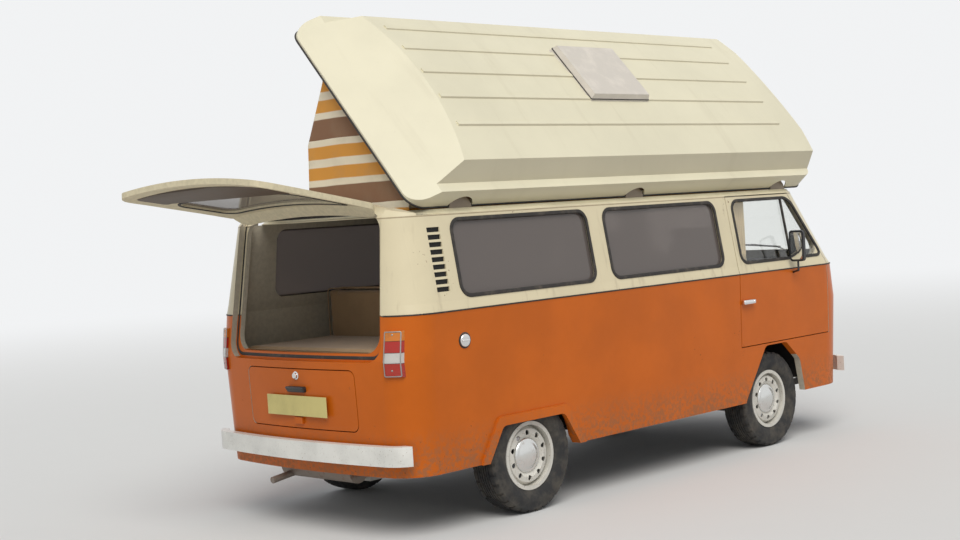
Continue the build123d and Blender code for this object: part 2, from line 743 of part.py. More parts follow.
def roof_section(along):
    """Gives the plane across the lifting roof at a place along the van."""
    origin = ROOF_FLOOR.from_local_coords((along, 0, 0))
    return Plane(origin=origin, x_dir=ROOF_FLOOR.y_dir, z_dir=(1, 0, 0))


def roof_profile(across):
    """Gives the plane along the lifting roof at a place across it."""
    origin = ROOF_FLOOR.from_local_coords((0, across, 0))
    return Plane(origin=origin, x_dir=(1, 0, 0), z_dir=-ROOF_FLOOR.y_dir)


def roof_block(inset, foot):
    """Makes the lifting roof as one solid block from its foot up, with its skin moved inwards."""
    band_top = STRIP_HEIGHT + BAND_HEIGHT
    top_edge = LEDGE_WIDTH + BAND_WIDTH
    apex = (ROOF_WIDTH / 2, band_top + CROWN)
    with BuildPart() as block:
        with BuildSketch(roof_section(ROOF_REAR - 50)) as across:
            with BuildLine():
                Polyline(
                    (top_edge, band_top),
                    (LEDGE_WIDTH, STRIP_HEIGHT),
                    (0, STRIP_HEIGHT),
                    (0, foot),
                    (ROOF_WIDTH, foot),
                    (ROOF_WIDTH, STRIP_HEIGHT),
                    (ROOF_WIDTH - LEDGE_WIDTH, STRIP_HEIGHT),
                    (ROOF_WIDTH - top_edge, band_top),
                )
                ThreePointArc((ROOF_WIDTH - top_edge, band_top), apex, (top_edge, band_top))
            make_face()
            offset(amount=-inset, kind=Kind.INTERSECTION)
        extrude(amount=ROOF_FRONT - ROOF_REAR + 100)
        with BuildSketch(ROOF_FLOOR.offset(foot)) as plan:
            with BuildLine():
                Polyline(
                    (ROOF_FRONT - ROOF_FRONT_BOW, 0),
                    (ROOF_REAR, 0),
                    (ROOF_REAR, ROOF_WIDTH),
                    (ROOF_FRONT - ROOF_FRONT_BOW, ROOF_WIDTH),
                )
                ThreePointArc(
                    (ROOF_FRONT - ROOF_FRONT_BOW, ROOF_WIDTH),
                    (ROOF_FRONT, ROOF_WIDTH / 2),
                    (ROOF_FRONT - ROOF_FRONT_BOW, 0),
                )
            make_face()
            fillet(plan.vertices(), ROOF_CORNER)
            offset(amount=-inset, kind=Kind.INTERSECTION)
        extrude(amount=band_top + CROWN - foot, mode=Mode.INTERSECT)
        crest = band_top + CROWN + 30
        slope = REAR_SLOPE / (band_top + CROWN - REAR_LIP)
        with BuildSketch(roof_profile(-100)) as along:
            with BuildLine():
                Polyline(
                    (ROOF_FRONT, STRIP_HEIGHT + 20),
                    (ROOF_FRONT, foot),
                    (ROOF_REAR, foot),
                    (ROOF_REAR, REAR_LIP),
                    (ROOF_REAR + slope * (crest - REAR_LIP), crest),
                    (ROOF_FRONT - FRONT_ROLL, crest),
                )
                ThreePointArc(
                    (ROOF_FRONT - FRONT_ROLL, crest),
                    (ROOF_FRONT - 0.3 * FRONT_ROLL, (crest + STRIP_HEIGHT) / 2 + 50),
                    (ROOF_FRONT, STRIP_HEIGHT + 20),
                )
            make_face()
            offset(amount=-inset, kind=Kind.INTERSECTION)
        extrude(amount=-ROOF_WIDTH - 200, mode=Mode.INTERSECT)
    return block.part


ROOF_OUTER = roof_block(0, 0)
crown_radius = ((ROOF_WIDTH / 2 - LEDGE_WIDTH - BAND_WIDTH) ** 2 + CROWN**2) / (2 * CROWN)


def crown_height(across):
    """Gives the height of the roof's crown above its rim at a place across it."""
    reach_out = across - ROOF_WIDTH / 2
    drop = crown_radius - math.sqrt(crown_radius**2 - reach_out**2)
    return STRIP_HEIGHT + BAND_HEIGHT + CROWN - drop


with BuildPart() as roof_shell:
    add(ROOF_OUTER)
    for place in RIB_PLACES:
        foot, top = crown_height(place) - 3, crown_height(place) + RIB_PROUD
        with BuildSketch(roof_section(RIB_ENDS[0])):
            with BuildLine():
                Polyline(
                    (place - RIB_HALF_FOOT, foot),
                    (place - RIB_HALF_TOP, top),
                    (place + RIB_HALF_TOP, top),
                    (place + RIB_HALF_FOOT, foot),
                    close=True,
                )
            make_face()
        extrude(amount=RIB_ENDS[1] - RIB_ENDS[0])
    add(roof_block(ROOF_WALL, -60), mode=Mode.SUBTRACT)
    with BuildSketch(roof_profile(-40)) as pockets:
        for place in POCKET_PLACES:
            with BuildLine():
                ThreePointArc(
                    (place - POCKET_HALF, -20), (place, POCKET_HEIGHT), (place + POCKET_HALF, -20)
                )
                Line((place + POCKET_HALF, -20), (place - POCKET_HALF, -20))
            make_face()
    extrude(amount=-80, mode=Mode.SUBTRACT)

with BuildPart() as roof_vent:
    vent_foot = crown_height(VENT_ACROSS[1]) - 30
    with BuildSketch(ROOF_FLOOR.offset(vent_foot)):
        with Locations((sum(VENT_ALONG) / 2, sum(VENT_ACROSS) / 2)):
            width = VENT_ALONG[1] - VENT_ALONG[0]
            RectangleRounded(width, VENT_ACROSS[1] - VENT_ACROSS[0], 30)
    extrude(amount=VENT_RISE + 30, taper=VENT_TAPER)
    add(roof_shell.part, mode=Mode.SUBTRACT)
    add(roof_block(ROOF_WALL, -60), mode=Mode.SUBTRACT)

HINGE_LEAF = (-713, -697)
HINGE_MARGIN = 14
with BuildPart() as roof_hinges:
    with BuildSketch(Plane.XZ.offset(-HINGE_LEAF[0])) as leaves:
        for place in POCKET_PLACES:
            with BuildLine():
                ThreePointArc(
                    (place - POCKET_HALF + HINGE_MARGIN, shoulder_top),
                    (place, RIM_HEIGHT + POCKET_HEIGHT - HINGE_MARGIN),
                    (place + POCKET_HALF - HINGE_MARGIN, shoulder_top),
                )
                Line(
                    (place + POCKET_HALF - HINGE_MARGIN, shoulder_top),
                    (place - POCKET_HALF + HINGE_MARGIN, shoulder_top),
                )
            make_face()
    extrude(amount=HINGE_LEAF[0] - HINGE_LEAF[1])

# Fabric walls between the fixed roof and the lifted one
head = ROOF_FLOOR.from_local_coords((0, FABRIC_HEAD_ACROSS, -1))
foot_right = ROOF_FLOOR.from_local_coords((0, FABRIC_FOOT_RIGHT - HINGE_Y, -1))
FABRIC_PROFILE = [
    (FABRIC_FOOT_RIGHT, shoulder_top + 1),
    (FABRIC_FOOT_LEFT, shoulder_top + 1),
    FABRIC_SHOULDER,
    (head.Y, head.Z),
    (foot_right.Y, foot_right.Z),
]
with BuildPart() as roof_fabric:
    with BuildSketch(Plane.YZ.offset(FABRIC_ALONG[0])):
        with BuildLine():
            Polyline(*FABRIC_PROFILE, close=True)
        make_face()
    extrude(amount=FABRIC_ALONG[1] - FABRIC_ALONG[0])
    with BuildSketch(Plane.YZ.offset(FABRIC_ALONG[0] + FABRIC)):
        with BuildLine():
            Polyline(
                (FABRIC_FOOT_RIGHT - 100, shoulder_top - 100),
                (FABRIC_FOOT_LEFT - FABRIC, shoulder_top - 100),
                (FABRIC_FOOT_LEFT - FABRIC, shoulder_top + 1),
                (FABRIC_SHOULDER[0] - FABRIC, FABRIC_SHOULDER[1]),
                (head.Y - FABRIC, head.Z),
                (head.Y - FABRIC, head.Z + 300),
                (FABRIC_FOOT_RIGHT - 100, head.Z + 300),
                close=True,
            )
        make_face()
    extrude(amount=FABRIC_ALONG[1] - FABRIC_ALONG[0] - 2 * FABRIC, mode=Mode.SUBTRACT)


def bumper(front):
    """Makes one wrap-round bumper with the brackets that carry it from the body."""
    with BuildPart() as bar:
        for inset, mode in ((0, Mode.ADD), (BUMPER_BAR, Mode.SUBTRACT)):
            with BuildSketch(Plane.XY.offset(BUMPER_BOTTOM)):
                with BuildLine():
                    corners = (BUMPER_CORNER, BUMPER_CORNER)
                    plan_edges(BUMPER_HALF, BUMPER_FRONT, BUMPER_REAR, corners, inset)
                make_face()
            extrude(amount=BUMPER_TOP - BUMPER_BOTTOM, mode=mode)
        ends = (BUMPER_FRONT_END, FAR) if front else (-FAR, BUMPER_REAR_END)
        add(box_between(ends, (-FAR, FAR), (0, FAR)), mode=Mode.INTERSECT)
        tip = BUMPER_FRONT - BUMPER_BAR if front else BUMPER_REAR + BUMPER_BAR
        root = 2150 if front else -2130
        for y in pair((BRACKET_PLACE - 25, BRACKET_PLACE + 25)):
            low = (BUMPER_BOTTOM + BUMPER_TOP) / 2 - BRACKET_HALF
            add(box_between((tip, root), y, (low, low + 2 * BRACKET_HALF)))
        add(SIDES, mode=Mode.SUBTRACT)
    return bar.part


with BuildPart() as front_bumper:
    add(bumper(True))

with BuildPart() as rear_bumper:
    add(bumper(False))

# Wheels, drawn as half sections of (outward, radius) points turned round the axle
FLANGE = 9
BEAD_HALF = RIM_WIDTH / 2 - FLANGE
barrel_outer = BARREL_RADIUS + RIM_WALL


def turned(place, side, draw):
    """Turns a half section round the axle of a wheel whose middle stands at a place."""
    x, y = place
    with BuildPart() as ring:
        with BuildSketch(Plane.YZ.offset(x)):
            with BuildLine():
                draw(lambda out, radius: (side * (y + out), AXLE_HEIGHT + radius))
            make_face()
        revolve(axis=Axis((x, 0, AXLE_HEIGHT), (0, 1, 0)))
    return ring.part


def draw_tyre(at):
    """Draws the tyre's half section, from bead to tread and back."""
    half_width, half_tread = TYRE_WIDTH / 2, TREAD_WIDTH / 2
    shoulder = TYRE_RADIUS - 11
    bulge = (FLANGE_RADIUS + shoulder) / 2
    edge = FLANGE_RADIUS + 1
    Polyline(at(-half_tread + 13, TYRE_RADIUS), at(half_tread - 13, TYRE_RADIUS), at(half_tread, shoulder))
    ThreePointArc(at(half_tread, shoulder), at(half_width, bulge), at(RIM_WIDTH / 2, edge))
    Polyline(at(RIM_WIDTH / 2, edge), at(BEAD_HALF, edge), at(BEAD_HALF, barrel_outer))
    Line(at(BEAD_HALF, barrel_outer), at(-BEAD_HALF, barrel_outer))
    Polyline(at(-BEAD_HALF, barrel_outer), at(-BEAD_HALF, edge), at(-RIM_WIDTH / 2, edge))
    ThreePointArc(at(-RIM_WIDTH / 2, edge), at(-half_width, bulge), at(-half_tread, shoulder))
    Line(at(-half_tread, shoulder), at(-half_tread + 13, TYRE_RADIUS))


DISC_WALL = 9
disc_face = [(20, BARREL_RADIUS), (54, 150), (60, 122), (42, HUBCAP_RADIUS)]
disc_back = [(out - DISC_WALL, radius - 3) for out, radius in disc_face]
disc_back[0] = (disc_face[0][0] - DISC_WALL, BARREL_RADIUS)
HUB_SEAT = disc_back[-1][0]


def draw_rim(at):
    """Draws the rim's half section: barrel with its flanges, dished disc and domed cap."""
    half_rim = RIM_WIDTH / 2
    Polyline(
        at(disc_face[0][0], BARREL_RADIUS),
        at(half_rim, BARREL_RADIUS),
        at(half_rim, FLANGE_RADIUS),
        at(BEAD_HALF, FLANGE_RADIUS),
        at(BEAD_HALF, barrel_outer),
        at(-BEAD_HALF, barrel_outer),
        at(-BEAD_HALF, FLANGE_RADIUS),
        at(-half_rim, FLANGE_RADIUS),
        at(-half_rim, BARREL_RADIUS),
        *[at(*point) for point in disc_back],
        at(HUB_SEAT, 0),
        at(HUB_SEAT + DISC_WALL + HUBCAP_DEPTH, 0),
    )
    dome = (HUB_SEAT + DISC_WALL + HUBCAP_DEPTH * 0.8, HUBCAP_RADIUS * 0.55)
    crown_end = (HUB_SEAT + DISC_WALL + HUBCAP_DEPTH, 0)
    ThreePointArc(at(*crown_end), at(*dome), at(*disc_face[-1]))
    Polyline(*[at(*point) for point in reversed(disc_face)])


# wheel name, side, place along the van and half track
WHEELS = [
    ("front_left", LEFT, FRONT_AXLE, FRONT_TRACK / 2),
    ("front_right", RIGHT, FRONT_AXLE, FRONT_TRACK / 2),
    ("rear_left", LEFT, REAR_AXLE, REAR_TRACK / 2),
    ("rear_right", RIGHT, REAR_AXLE, REAR_TRACK / 2),
]
tyres, rims = {}, {}
for wheel, side, x, y in WHEELS:
    with BuildPart() as tyre:
        add(turned((x, y), side, draw_tyre))
    with BuildPart() as rim:
        add(turned((x, y), side, draw_rim))
        face = Plane(origin=(x, side * (y + HUB_SEAT), AXLE_HEIGHT), z_dir=(0, side, 0))
        with BuildSketch(face):
            with PolarLocations(VENT_CIRCLE, VENT_COUNT):
                Circle(VENT_RADIUS)
        extrude(amount=60, mode=Mode.SUBTRACT)
    tyres[wheel] = tyre
    rims[wheel] = rim

# Front suspension, with the knuckles that steer between its arms
KINGPIN = 600
KINGPIN_RADIUS = 20
KINGPIN_GAP = 1
SWIVEL_HEIGHTS = (206, 430)
ARM_HALF = 18
ARM_ACROSS = (428, 462)
TUBE_RADIUS = 28
TUBE_PLACE = 1368
TUBE_HEIGHTS = (214, 306)
TUBE_END = 432
TOWER = (404, 432)
STUB_RADIUS = 25
PLATE_RADIUS = 128
PLATE_ACROSS = (636, 648)
with BuildPart() as front_suspension:
    for y in pair(TOWER):
        add(box_between((TUBE_PLACE - 34, TUBE_PLACE + 34), y, (TUBE_HEIGHTS[0] - 32, RAIL_BOTTOM)))
    for height, swivel in zip(TUBE_HEIGHTS, SWIVEL_HEIGHTS):
        for y in (-TUBE_END, 0):
            tube = ((TUBE_PLACE, y, height), (TUBE_PLACE, y + TUBE_END, height))
            add(rod_between(*tube, TUBE_RADIUS))
        for y in pair(ARM_ACROSS):
            with BuildSketch(Plane.XZ.offset(-y[1])):
                Polygon(
                    (TUBE_PLACE + ARM_HALF, height - ARM_HALF),
                    (TUBE_PLACE + ARM_HALF, height + ARM_HALF),
                    (FRONT_AXLE - ARM_HALF, swivel + ARM_HALF),
                    (FRONT_AXLE - ARM_HALF, swivel - ARM_HALF),
                    align=None,
                )
            extrude(amount=y[1] - y[0])
        for y in pair((ARM_ACROSS[1] - 5, KINGPIN + ARM_HALF)):
            along = (FRONT_AXLE - ARM_HALF, FRONT_AXLE + ARM_HALF)
            add(box_between(along, y, (swivel - ARM_HALF + 2, swivel + ARM_HALF - 2)))


def knuckle(side):
    """Makes a front knuckle: kingpin, stub axle and brake plate."""
    bottom = SWIVEL_HEIGHTS[0] + ARM_HALF + KINGPIN_GAP
    top = SWIVEL_HEIGHTS[1] - ARM_HALF - KINGPIN_GAP
    stub_end = FRONT_TRACK / 2 + HUB_SEAT - TOUCH
    centre = (FRONT_AXLE, side * KINGPIN, AXLE_HEIGHT)
    with BuildPart() as part:
        pin = ((FRONT_AXLE, side * KINGPIN, bottom), (FRONT_AXLE, side * KINGPIN, top))
        add(rod_between(*pin, KINGPIN_RADIUS))
        add(rod_between(centre, (FRONT_AXLE, side * stub_end, AXLE_HEIGHT), STUB_RADIUS))
        plate = [(FRONT_AXLE, side * y, AXLE_HEIGHT) for y in PLATE_ACROSS]
        add(rod_between(*plate, PLATE_RADIUS))
    return part.part


with BuildPart() as knuckle_right:
    add(knuckle(RIGHT))

with BuildPart() as knuckle_left:
    add(knuckle(LEFT))

# Rear suspension with gearbox and drive shafts, and the engine behind it
GEARBOX = ((-1480, -960), (-130, 130), (226, 360))
SHAFT_RADIUS = 18
HUB_RADIUS = 52
HUB_INNER = 655
LINK_ACROSS = (500, 540)
LINK_HEIGHTS = (298, 338)
LINK_FRONT = ARM_PLACES[0] + 26
CARRIER = ((REAR_AXLE - 45, REAR_AXLE + 45), (500, 662), (276, 360))
with BuildPart() as rear_suspension:
    add(box_between(*GEARBOX))
    for side in (LEFT, RIGHT):
        start = (REAR_AXLE, side * (GEARBOX[1][1] - 10), AXLE_HEIGHT)
        add(rod_between(start, (REAR_AXLE, side * CARRIER[1][1], AXLE_HEIGHT), SHAFT_RADIUS))
        hub = (REAR_AXLE, side * (REAR_TRACK / 2 + HUB_SEAT - TOUCH), AXLE_HEIGHT)
        add(rod_between((REAR_AXLE, side * HUB_INNER, AXLE_HEIGHT), hub, HUB_RADIUS))
        add(box_between(CARRIER[0], reach(side, *CARRIER[1]), CARRIER[2]))
        add(box_between((REAR_AXLE, LINK_FRONT), reach(side, *LINK_ACROSS), LINK_HEIGHTS))
        pivot = (LINK_HEIGHTS[1] - 5, ARM_BOTTOM)
        add(box_between((LINK_FRONT - 50, LINK_FRONT), reach(side, *LINK_ACROSS), pivot))

ENGINE = ((-1960, GEARBOX[0][0]), (-300, 300), (262, 640))
with BuildPart() as engine_block:
    add(box_between(*ENGINE))

SILENCER_PLACE = (-2036, 330)
SILENCER_RADIUS = 66
SILENCER_HALF = 300
TAIL_PIPE = ((-2036, 232, 292), (-2222, 232, 268))
TAIL_PIPE_RADIUS = 19
with BuildPart() as exhaust:
    x, z = SILENCER_PLACE
    add(rod_between((x, -SILENCER_HALF, z), (x, SILENCER_HALF, z), SILENCER_RADIUS))
    for y in (-190, 190):
        add(rod_between((ENGINE[0][0], y, z), (x, y, z), TAIL_PIPE_RADIUS))
    add(rod_between(*TAIL_PIPE, TAIL_PIPE_RADIUS))

FILLER_PLACE = (-1709, 1020)
FILLER_RADIUS = 43
FILLER_PROUD = 15
with BuildPart() as filler_cap:
    with BuildSketch(Plane.XZ.offset(700)):
        with Locations(FILLER_PLACE):
            Circle(FILLER_RADIUS)
    extrude(amount=400)
    add(body_block(-FILLER_PROUD), mode=Mode.INTERSECT)
    add(SIDES, mode=Mode.SUBTRACT)

# Cab
DASH = (1905, 1056, 1226)
with BuildPart() as dashboard:
    add(INNER)
    add(box_between((DASH[0], FAR), (-FAR, FAR), (DASH[1], DASH[2])), mode=Mode.INTERSECT)

DRIVER = -390
STEERING_CENTRE = (1690, DRIVER, 1105)
COLUMN_FOOT = (1955, DRIVER, FLOOR_TOP)
STEERING_RADIUS = 195
STEERING_GRIP = 12
COLUMN_RADIUS = 17
SPOKE_HALF = 11
SPOKE_THICK = 8
lean = Vector(*STEERING_CENTRE) - Vector(*COLUMN_FOOT)
wheel_plane = Plane(origin=STEERING_CENTRE, x_dir=(0, 1, 0), z_dir=lean)
rim_plane = Plane(origin=STEERING_CENTRE, x_dir=wheel_plane.x_dir, z_dir=wheel_plane.y_dir)
with BuildPart() as steering_wheel:
    with BuildSketch(rim_plane):
        with Locations((STEERING_RADIUS, 0)):
            Circle(STEERING_GRIP)
    revolve(axis=Axis(STEERING_CENTRE, tuple(lean)))
    with BuildSketch(wheel_plane.offset(-SPOKE_THICK / 2)):
        Rectangle(2 * STEERING_RADIUS, 2 * SPOKE_HALF)
        with Locations((0, -STEERING_RADIUS / 2)):
            Rectangle(2 * SPOKE_HALF, STEERING_RADIUS)
    extrude(amount=SPOKE_THICK)
    add(rod_between(COLUMN_FOOT, tuple(wheel_plane.offset(14).origin), COLUMN_RADIUS))
    add(box_between((0, FAR), (-FAR, FAR), (0, FLOOR_TOP)), mode=Mode.SUBTRACT)

SEAT_ACROSS = (185, 595)
SEAT_ALONG = (955, 1440)
SEAT_TOP = 806
SEAT_PLATE = 20
BACK_TOP = 1380
CUSHION_ACROSS = (162, 618)
CUSHION_THICK = 118
CUSHION_FRONT = 1466
BACK_THICK = 105
BACK_CUSHION_TOP = 1500
SOFT_GAP = 5
with BuildPart() as cab_seat_frames:
    for side in (LEFT, RIGHT):
        across = reach(side, *SEAT_ACROSS)
        add(box_between(SEAT_ALONG, across, (FLOOR_TOP, SEAT_TOP)))
        back = (SEAT_ALONG[0], SEAT_ALONG[0] + SEAT_PLATE)
        add(box_between(back, across, (SEAT_TOP - 10, BACK_TOP)))
    for side in (LEFT, RIGHT):
        ends = (FRONT_HOUSE[0] - HOUSE_WALL, FRONT_HOUSE[1] + HOUSE_WALL)
        house_top = FRONT_HOUSE[3] + HOUSE_WALL
        house = box_between(ends, reach(side, FRONT_HOUSE[2] - HOUSE_WALL, FAR), (0, house_top))
        add(house, mode=Mode.SUBTRACT)

with BuildPart() as cab_cushions:
    for side in (LEFT, RIGHT):
        across = reach(side, *CUSHION_ACROSS)
        rear = SEAT_ALONG[0] + SEAT_PLATE
        seat_top = SEAT_TOP + CUSHION_THICK
        add(box_between((rear + SOFT_GAP, CUSHION_FRONT), across, (SEAT_TOP, seat_top)))
        height = (seat_top + SOFT_GAP, BACK_CUSHION_TOP)
        add(box_between((rear, rear + BACK_THICK), across, height))

# Living space
BOARD = 18
CABINET_GAP = 11
cabinet_back = BODY_SECTIONS[3][1] - WALL - CABINET_GAP
CABINET = ((-735, 690), (-cabinet_back, -420), (FLOOR_TOP, 1188))
with BuildPart() as kitchen_cabinet:
    add(INNER)
    add(box_between(*CABINET), mode=Mode.INTERSECT)
    hollow_x = (CABINET[0][0] + BOARD, CABINET[0][1] - BOARD)
    hollow_y = (CABINET[1][0] + BOARD, CABINET[1][1] - BOARD)
    hollow_z = (FLOOR_TOP - 10, CABINET[2][1] - BOARD - 10)
    add(box_between(hollow_x, hollow_y, hollow_z), mode=Mode.SUBTRACT)

BENCH = ((BULKHEAD + BULKHEAD_THICK, -775), (-400, 780), (FLOOR_TOP, 806))
with BuildPart() as bench_base:
    add(box_between(*BENCH))
    ends = (REAR_HOUSE[0] - HOUSE_WALL, REAR_HOUSE[1] + HOUSE_WALL)
    house_top = REAR_HOUSE[3] + HOUSE_WALL
    house = box_between(ends, (REAR_HOUSE[2] - HOUSE_WALL, FAR), (0, house_top))
    add(house, mode=Mode.SUBTRACT)
    hollow_x = (BENCH[0][0] + BOARD, BENCH[0][1] - BOARD)
    hollow_y = (BENCH[1][0] + BOARD, REAR_HOUSE[2] - HOUSE_WALL - BOARD)
    add(box_between(hollow_x, hollow_y, (0, BENCH[2][1] - BOARD)), mode=Mode.SUBTRACT)

PAD_THICK = 110
BENCH_PAD = ((-1232, -782), (-392, 740))
BENCH_BACK = ((-1342, -1237), (-392, 740), 1285)
REAR_PAD = ((-2040, -1352), (-690, 690))
with BuildPart() as bed_cushions:
    low = BENCH[2][1]
    add(box_between(*BENCH_PAD, (low, low + PAD_THICK)))
    add(box_between(BENCH_BACK[0], BENCH_BACK[1], (DECK_TOP, BENCH_BACK[2])))
    add(box_between(*REAR_PAD, (DECK_TOP, DECK_TOP + PAD_THICK)))

CURTAIN = ((812, 1120), (690, 716), (1216, GUTTER))
with BuildPart() as cab_curtains:
    for side in (LEFT, RIGHT):
        add(box_between(CURTAIN[0], reach(side, *CURTAIN[1]), CURTAIN[2]))

# Every piece with its name
pieces = {
    "floor_pan": floor_pan,
    "chassis_frame": chassis_frame,
    "side_panel_right": side_panel_right,
    "side_panel_left": side_panel_left,
    "sliding_door": sliding_door,
    "front_panel": front_panel,
    "rear_panel": rear_panel,
    "roof_surround": roof_surround,
    "cab_door_right": cab_door_right,
    "cab_door_left": cab_door_left,
    "door_glass_right": door_glass_right,
    "door_glass_left": door_glass_left,
    "mirror_right": mirror_right,
    "mirror_left": mirror_left,
    "tailgate": tailgate,
    "tailgate_glass": tailgate_glass,
    "engine_lid": engine_lid,
    "air_grille": air_grille,
    "headlamps": headlamps,
    "filler_cap": filler_cap,
    "roof_shell": roof_shell,
    "roof_vent": roof_vent,
    "roof_hinges": roof_hinges,
    "roof_fabric": roof_fabric,
    "knuckle_right": knuckle_right,
    "knuckle_left": knuckle_left,
    "engine_block": engine_block,
    "exhaust": exhaust,
    "cab_seat_frames": cab_seat_frames,
    "cab_curtains": cab_curtains,
}
for wheel, side, x, y in WHEELS:
    pieces[f"tyre_{wheel}"] = tyres[wheel]
    pieces[f"rim_{wheel}"] = rims[wheel]

# Like pieces on the body shell that share a node
sharing = {
    "fixed_windows": (windscreen, side_windows),
    "signal_lamps": (front_signals, tail_lamps),
    "bumpers": (front_bumper, rear_bumper),
    "suspension": (front_suspension, rear_suspension),
    "cab_controls": (dashboard, steering_wheel),
    "living_furniture": (kitchen_cabinet, bench_base),
    "seat_cushions": (cab_cushions, bed_cushions),
}
for name, members in sharing.items():
    with BuildPart() as group:
        for member in members:
            add(member.part)
    pieces[name] = group

# The origin moves to the ground under the middle of everything, as it stands open
van_rear = tailgate.part.bounding_box().min.X
van_front = front_bumper.part.bounding_box().max.X
ORIGIN_SHIFT = -(van_rear + van_front) / 2

os.makedirs("parts", exist_ok=True)
for name, piece in pieces.items():
    piece.part = piece.part.moved(Location((ORIGIN_SHIFT, 0, 0)))
    piece.part.label = name
    export_step(piece.part, f"parts/{name}.step")
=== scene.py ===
"""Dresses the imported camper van: paint, glass, rubber, canvas, cushions and the small fittings."""

import logging
import math
from dataclasses import dataclass, field
from enum import Enum
from functools import partialmethod
from typing import Callable, Iterable, Sequence

import bmesh
import bpy
from mathutils import Matrix, Vector, noise


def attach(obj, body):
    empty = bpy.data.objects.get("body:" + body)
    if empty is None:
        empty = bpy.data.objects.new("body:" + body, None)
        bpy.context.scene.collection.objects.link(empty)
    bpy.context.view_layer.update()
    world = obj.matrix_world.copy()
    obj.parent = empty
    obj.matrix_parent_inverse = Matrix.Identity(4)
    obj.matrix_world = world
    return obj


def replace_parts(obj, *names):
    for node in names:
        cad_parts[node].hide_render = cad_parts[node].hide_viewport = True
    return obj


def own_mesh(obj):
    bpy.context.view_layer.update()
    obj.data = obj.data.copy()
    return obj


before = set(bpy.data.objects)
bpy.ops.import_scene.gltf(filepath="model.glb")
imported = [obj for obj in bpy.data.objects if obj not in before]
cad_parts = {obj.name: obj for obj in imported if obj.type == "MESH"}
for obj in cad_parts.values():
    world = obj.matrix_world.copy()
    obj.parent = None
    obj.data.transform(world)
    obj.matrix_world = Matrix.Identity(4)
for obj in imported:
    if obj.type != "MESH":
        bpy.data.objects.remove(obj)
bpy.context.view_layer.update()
log = logging.getLogger("camper")

Number = int | float
Colour = tuple[float, float, float]
Flat = Sequence[tuple[float, float]]
Pick = Callable[[Vector], bool]

# The body's own sizes, in metres: the wheelbase's middle, heights, (height, half width) of the
# upper side wall's two ends, and the tailgate's hinge pin and opening
MIDDLE = 0.285
BELT = 1.183
GUTTER_LIP = 1.692
SIDE_LEDGE = (1.236, 0.846)
SIDE_GUTTER = (1.697, 0.771)
GATE_PIN = (-2.0270485, 1.758)
GATE_OPEN = math.radians(92.5)
ALONG, ACROSS, UP = Vector((1, 0, 0)), Vector((0, 1, 0)), Vector((0, 0, 1))


class Side(Enum):
    """The two sides of the van, by the sign of Y."""

    LEFT = 1
    RIGHT = -1

    @property
    def word(self) -> str:
        """The side's name in a piece's name."""
        return self.name.lower()


def at(x: float, y: float, z: float) -> Vector:
    """A point in the frame, with X taken from the middle of the wheelbase."""
    return Vector((x + MIDDLE, y, z))


def wall_y(z: float) -> float:
    """The distance of the upper side wall from the middle of the van at a height."""
    share = (z - SIDE_LEDGE[0]) / (SIDE_GUTTER[0] - SIDE_LEDGE[0])
    return SIDE_LEDGE[1] + share * (SIDE_GUTTER[1] - SIDE_LEDGE[1])


def rectangle(near: float, far: float, low: float, high: float) -> list[tuple[float, float]]:
    """The corners of an upright rectangle, in order."""
    return [(near, low), (far, low), (far, high), (near, high)]


def dim(colour: Colour, share: float) -> Colour:
    """A colour at a share of its strength."""
    return tuple(c * share for c in colour)


# Shader sockets that take part in Python arithmetic


class Sock:
    """One output of a shader node; arithmetic on it adds Math nodes."""

    def __init__(self, tree: bpy.types.NodeTree, socket: bpy.types.NodeSocket) -> None:
        """Wraps a socket of a tree."""
        self.tree, self.socket = tree, socket

    def op(self, operation: str, *terms: "Sock | Number", last: bool = False) -> "Sock":
        """Adds one Math node.

        Args:
            operation: the Math node's operation.
            terms: its other inputs.
            last: whether this socket comes after them.

        Returns:
            The node's output.
        """
        node = self.tree.nodes.new("ShaderNodeMath")
        node.operation = operation
        for place, term in enumerate((*terms, self) if last else (self, *terms)):
            if isinstance(term, Sock):
                self.tree.links.new(term.socket, node.inputs[place])
            else:
                node.inputs[place].default_value = term
        return Sock(self.tree, node.outputs[0])

    __add__ = __radd__ = partialmethod(op, "ADD")
    __mul__ = __rmul__ = partialmethod(op, "MULTIPLY")
    __sub__ = partialmethod(op, "SUBTRACT")
    __rsub__ = partialmethod(op, "SUBTRACT", last=True)
    __gt__ = partialmethod(op, "GREATER_THAN")
    __lt__ = partialmethod(op, "LESS_THAN")

    def ramp(self, low: float, high: float) -> "Sock":
        """Maps low to 0 and high to 1, smoothly and held at the ends.

        Args:
            low: the value that gives 0.
            high: the value that gives 1.

        Returns:
            The mapped socket.
        """
        node = self.tree.nodes.new("ShaderNodeMapRange")
        node.interpolation_type = "SMOOTHSTEP"
        self.tree.links.new(self.socket, node.inputs["Value"])
        node.inputs["From Min"].default_value = low
        node.inputs["From Max"].default_value = high
        return Sock(self.tree, node.outputs["Result"])


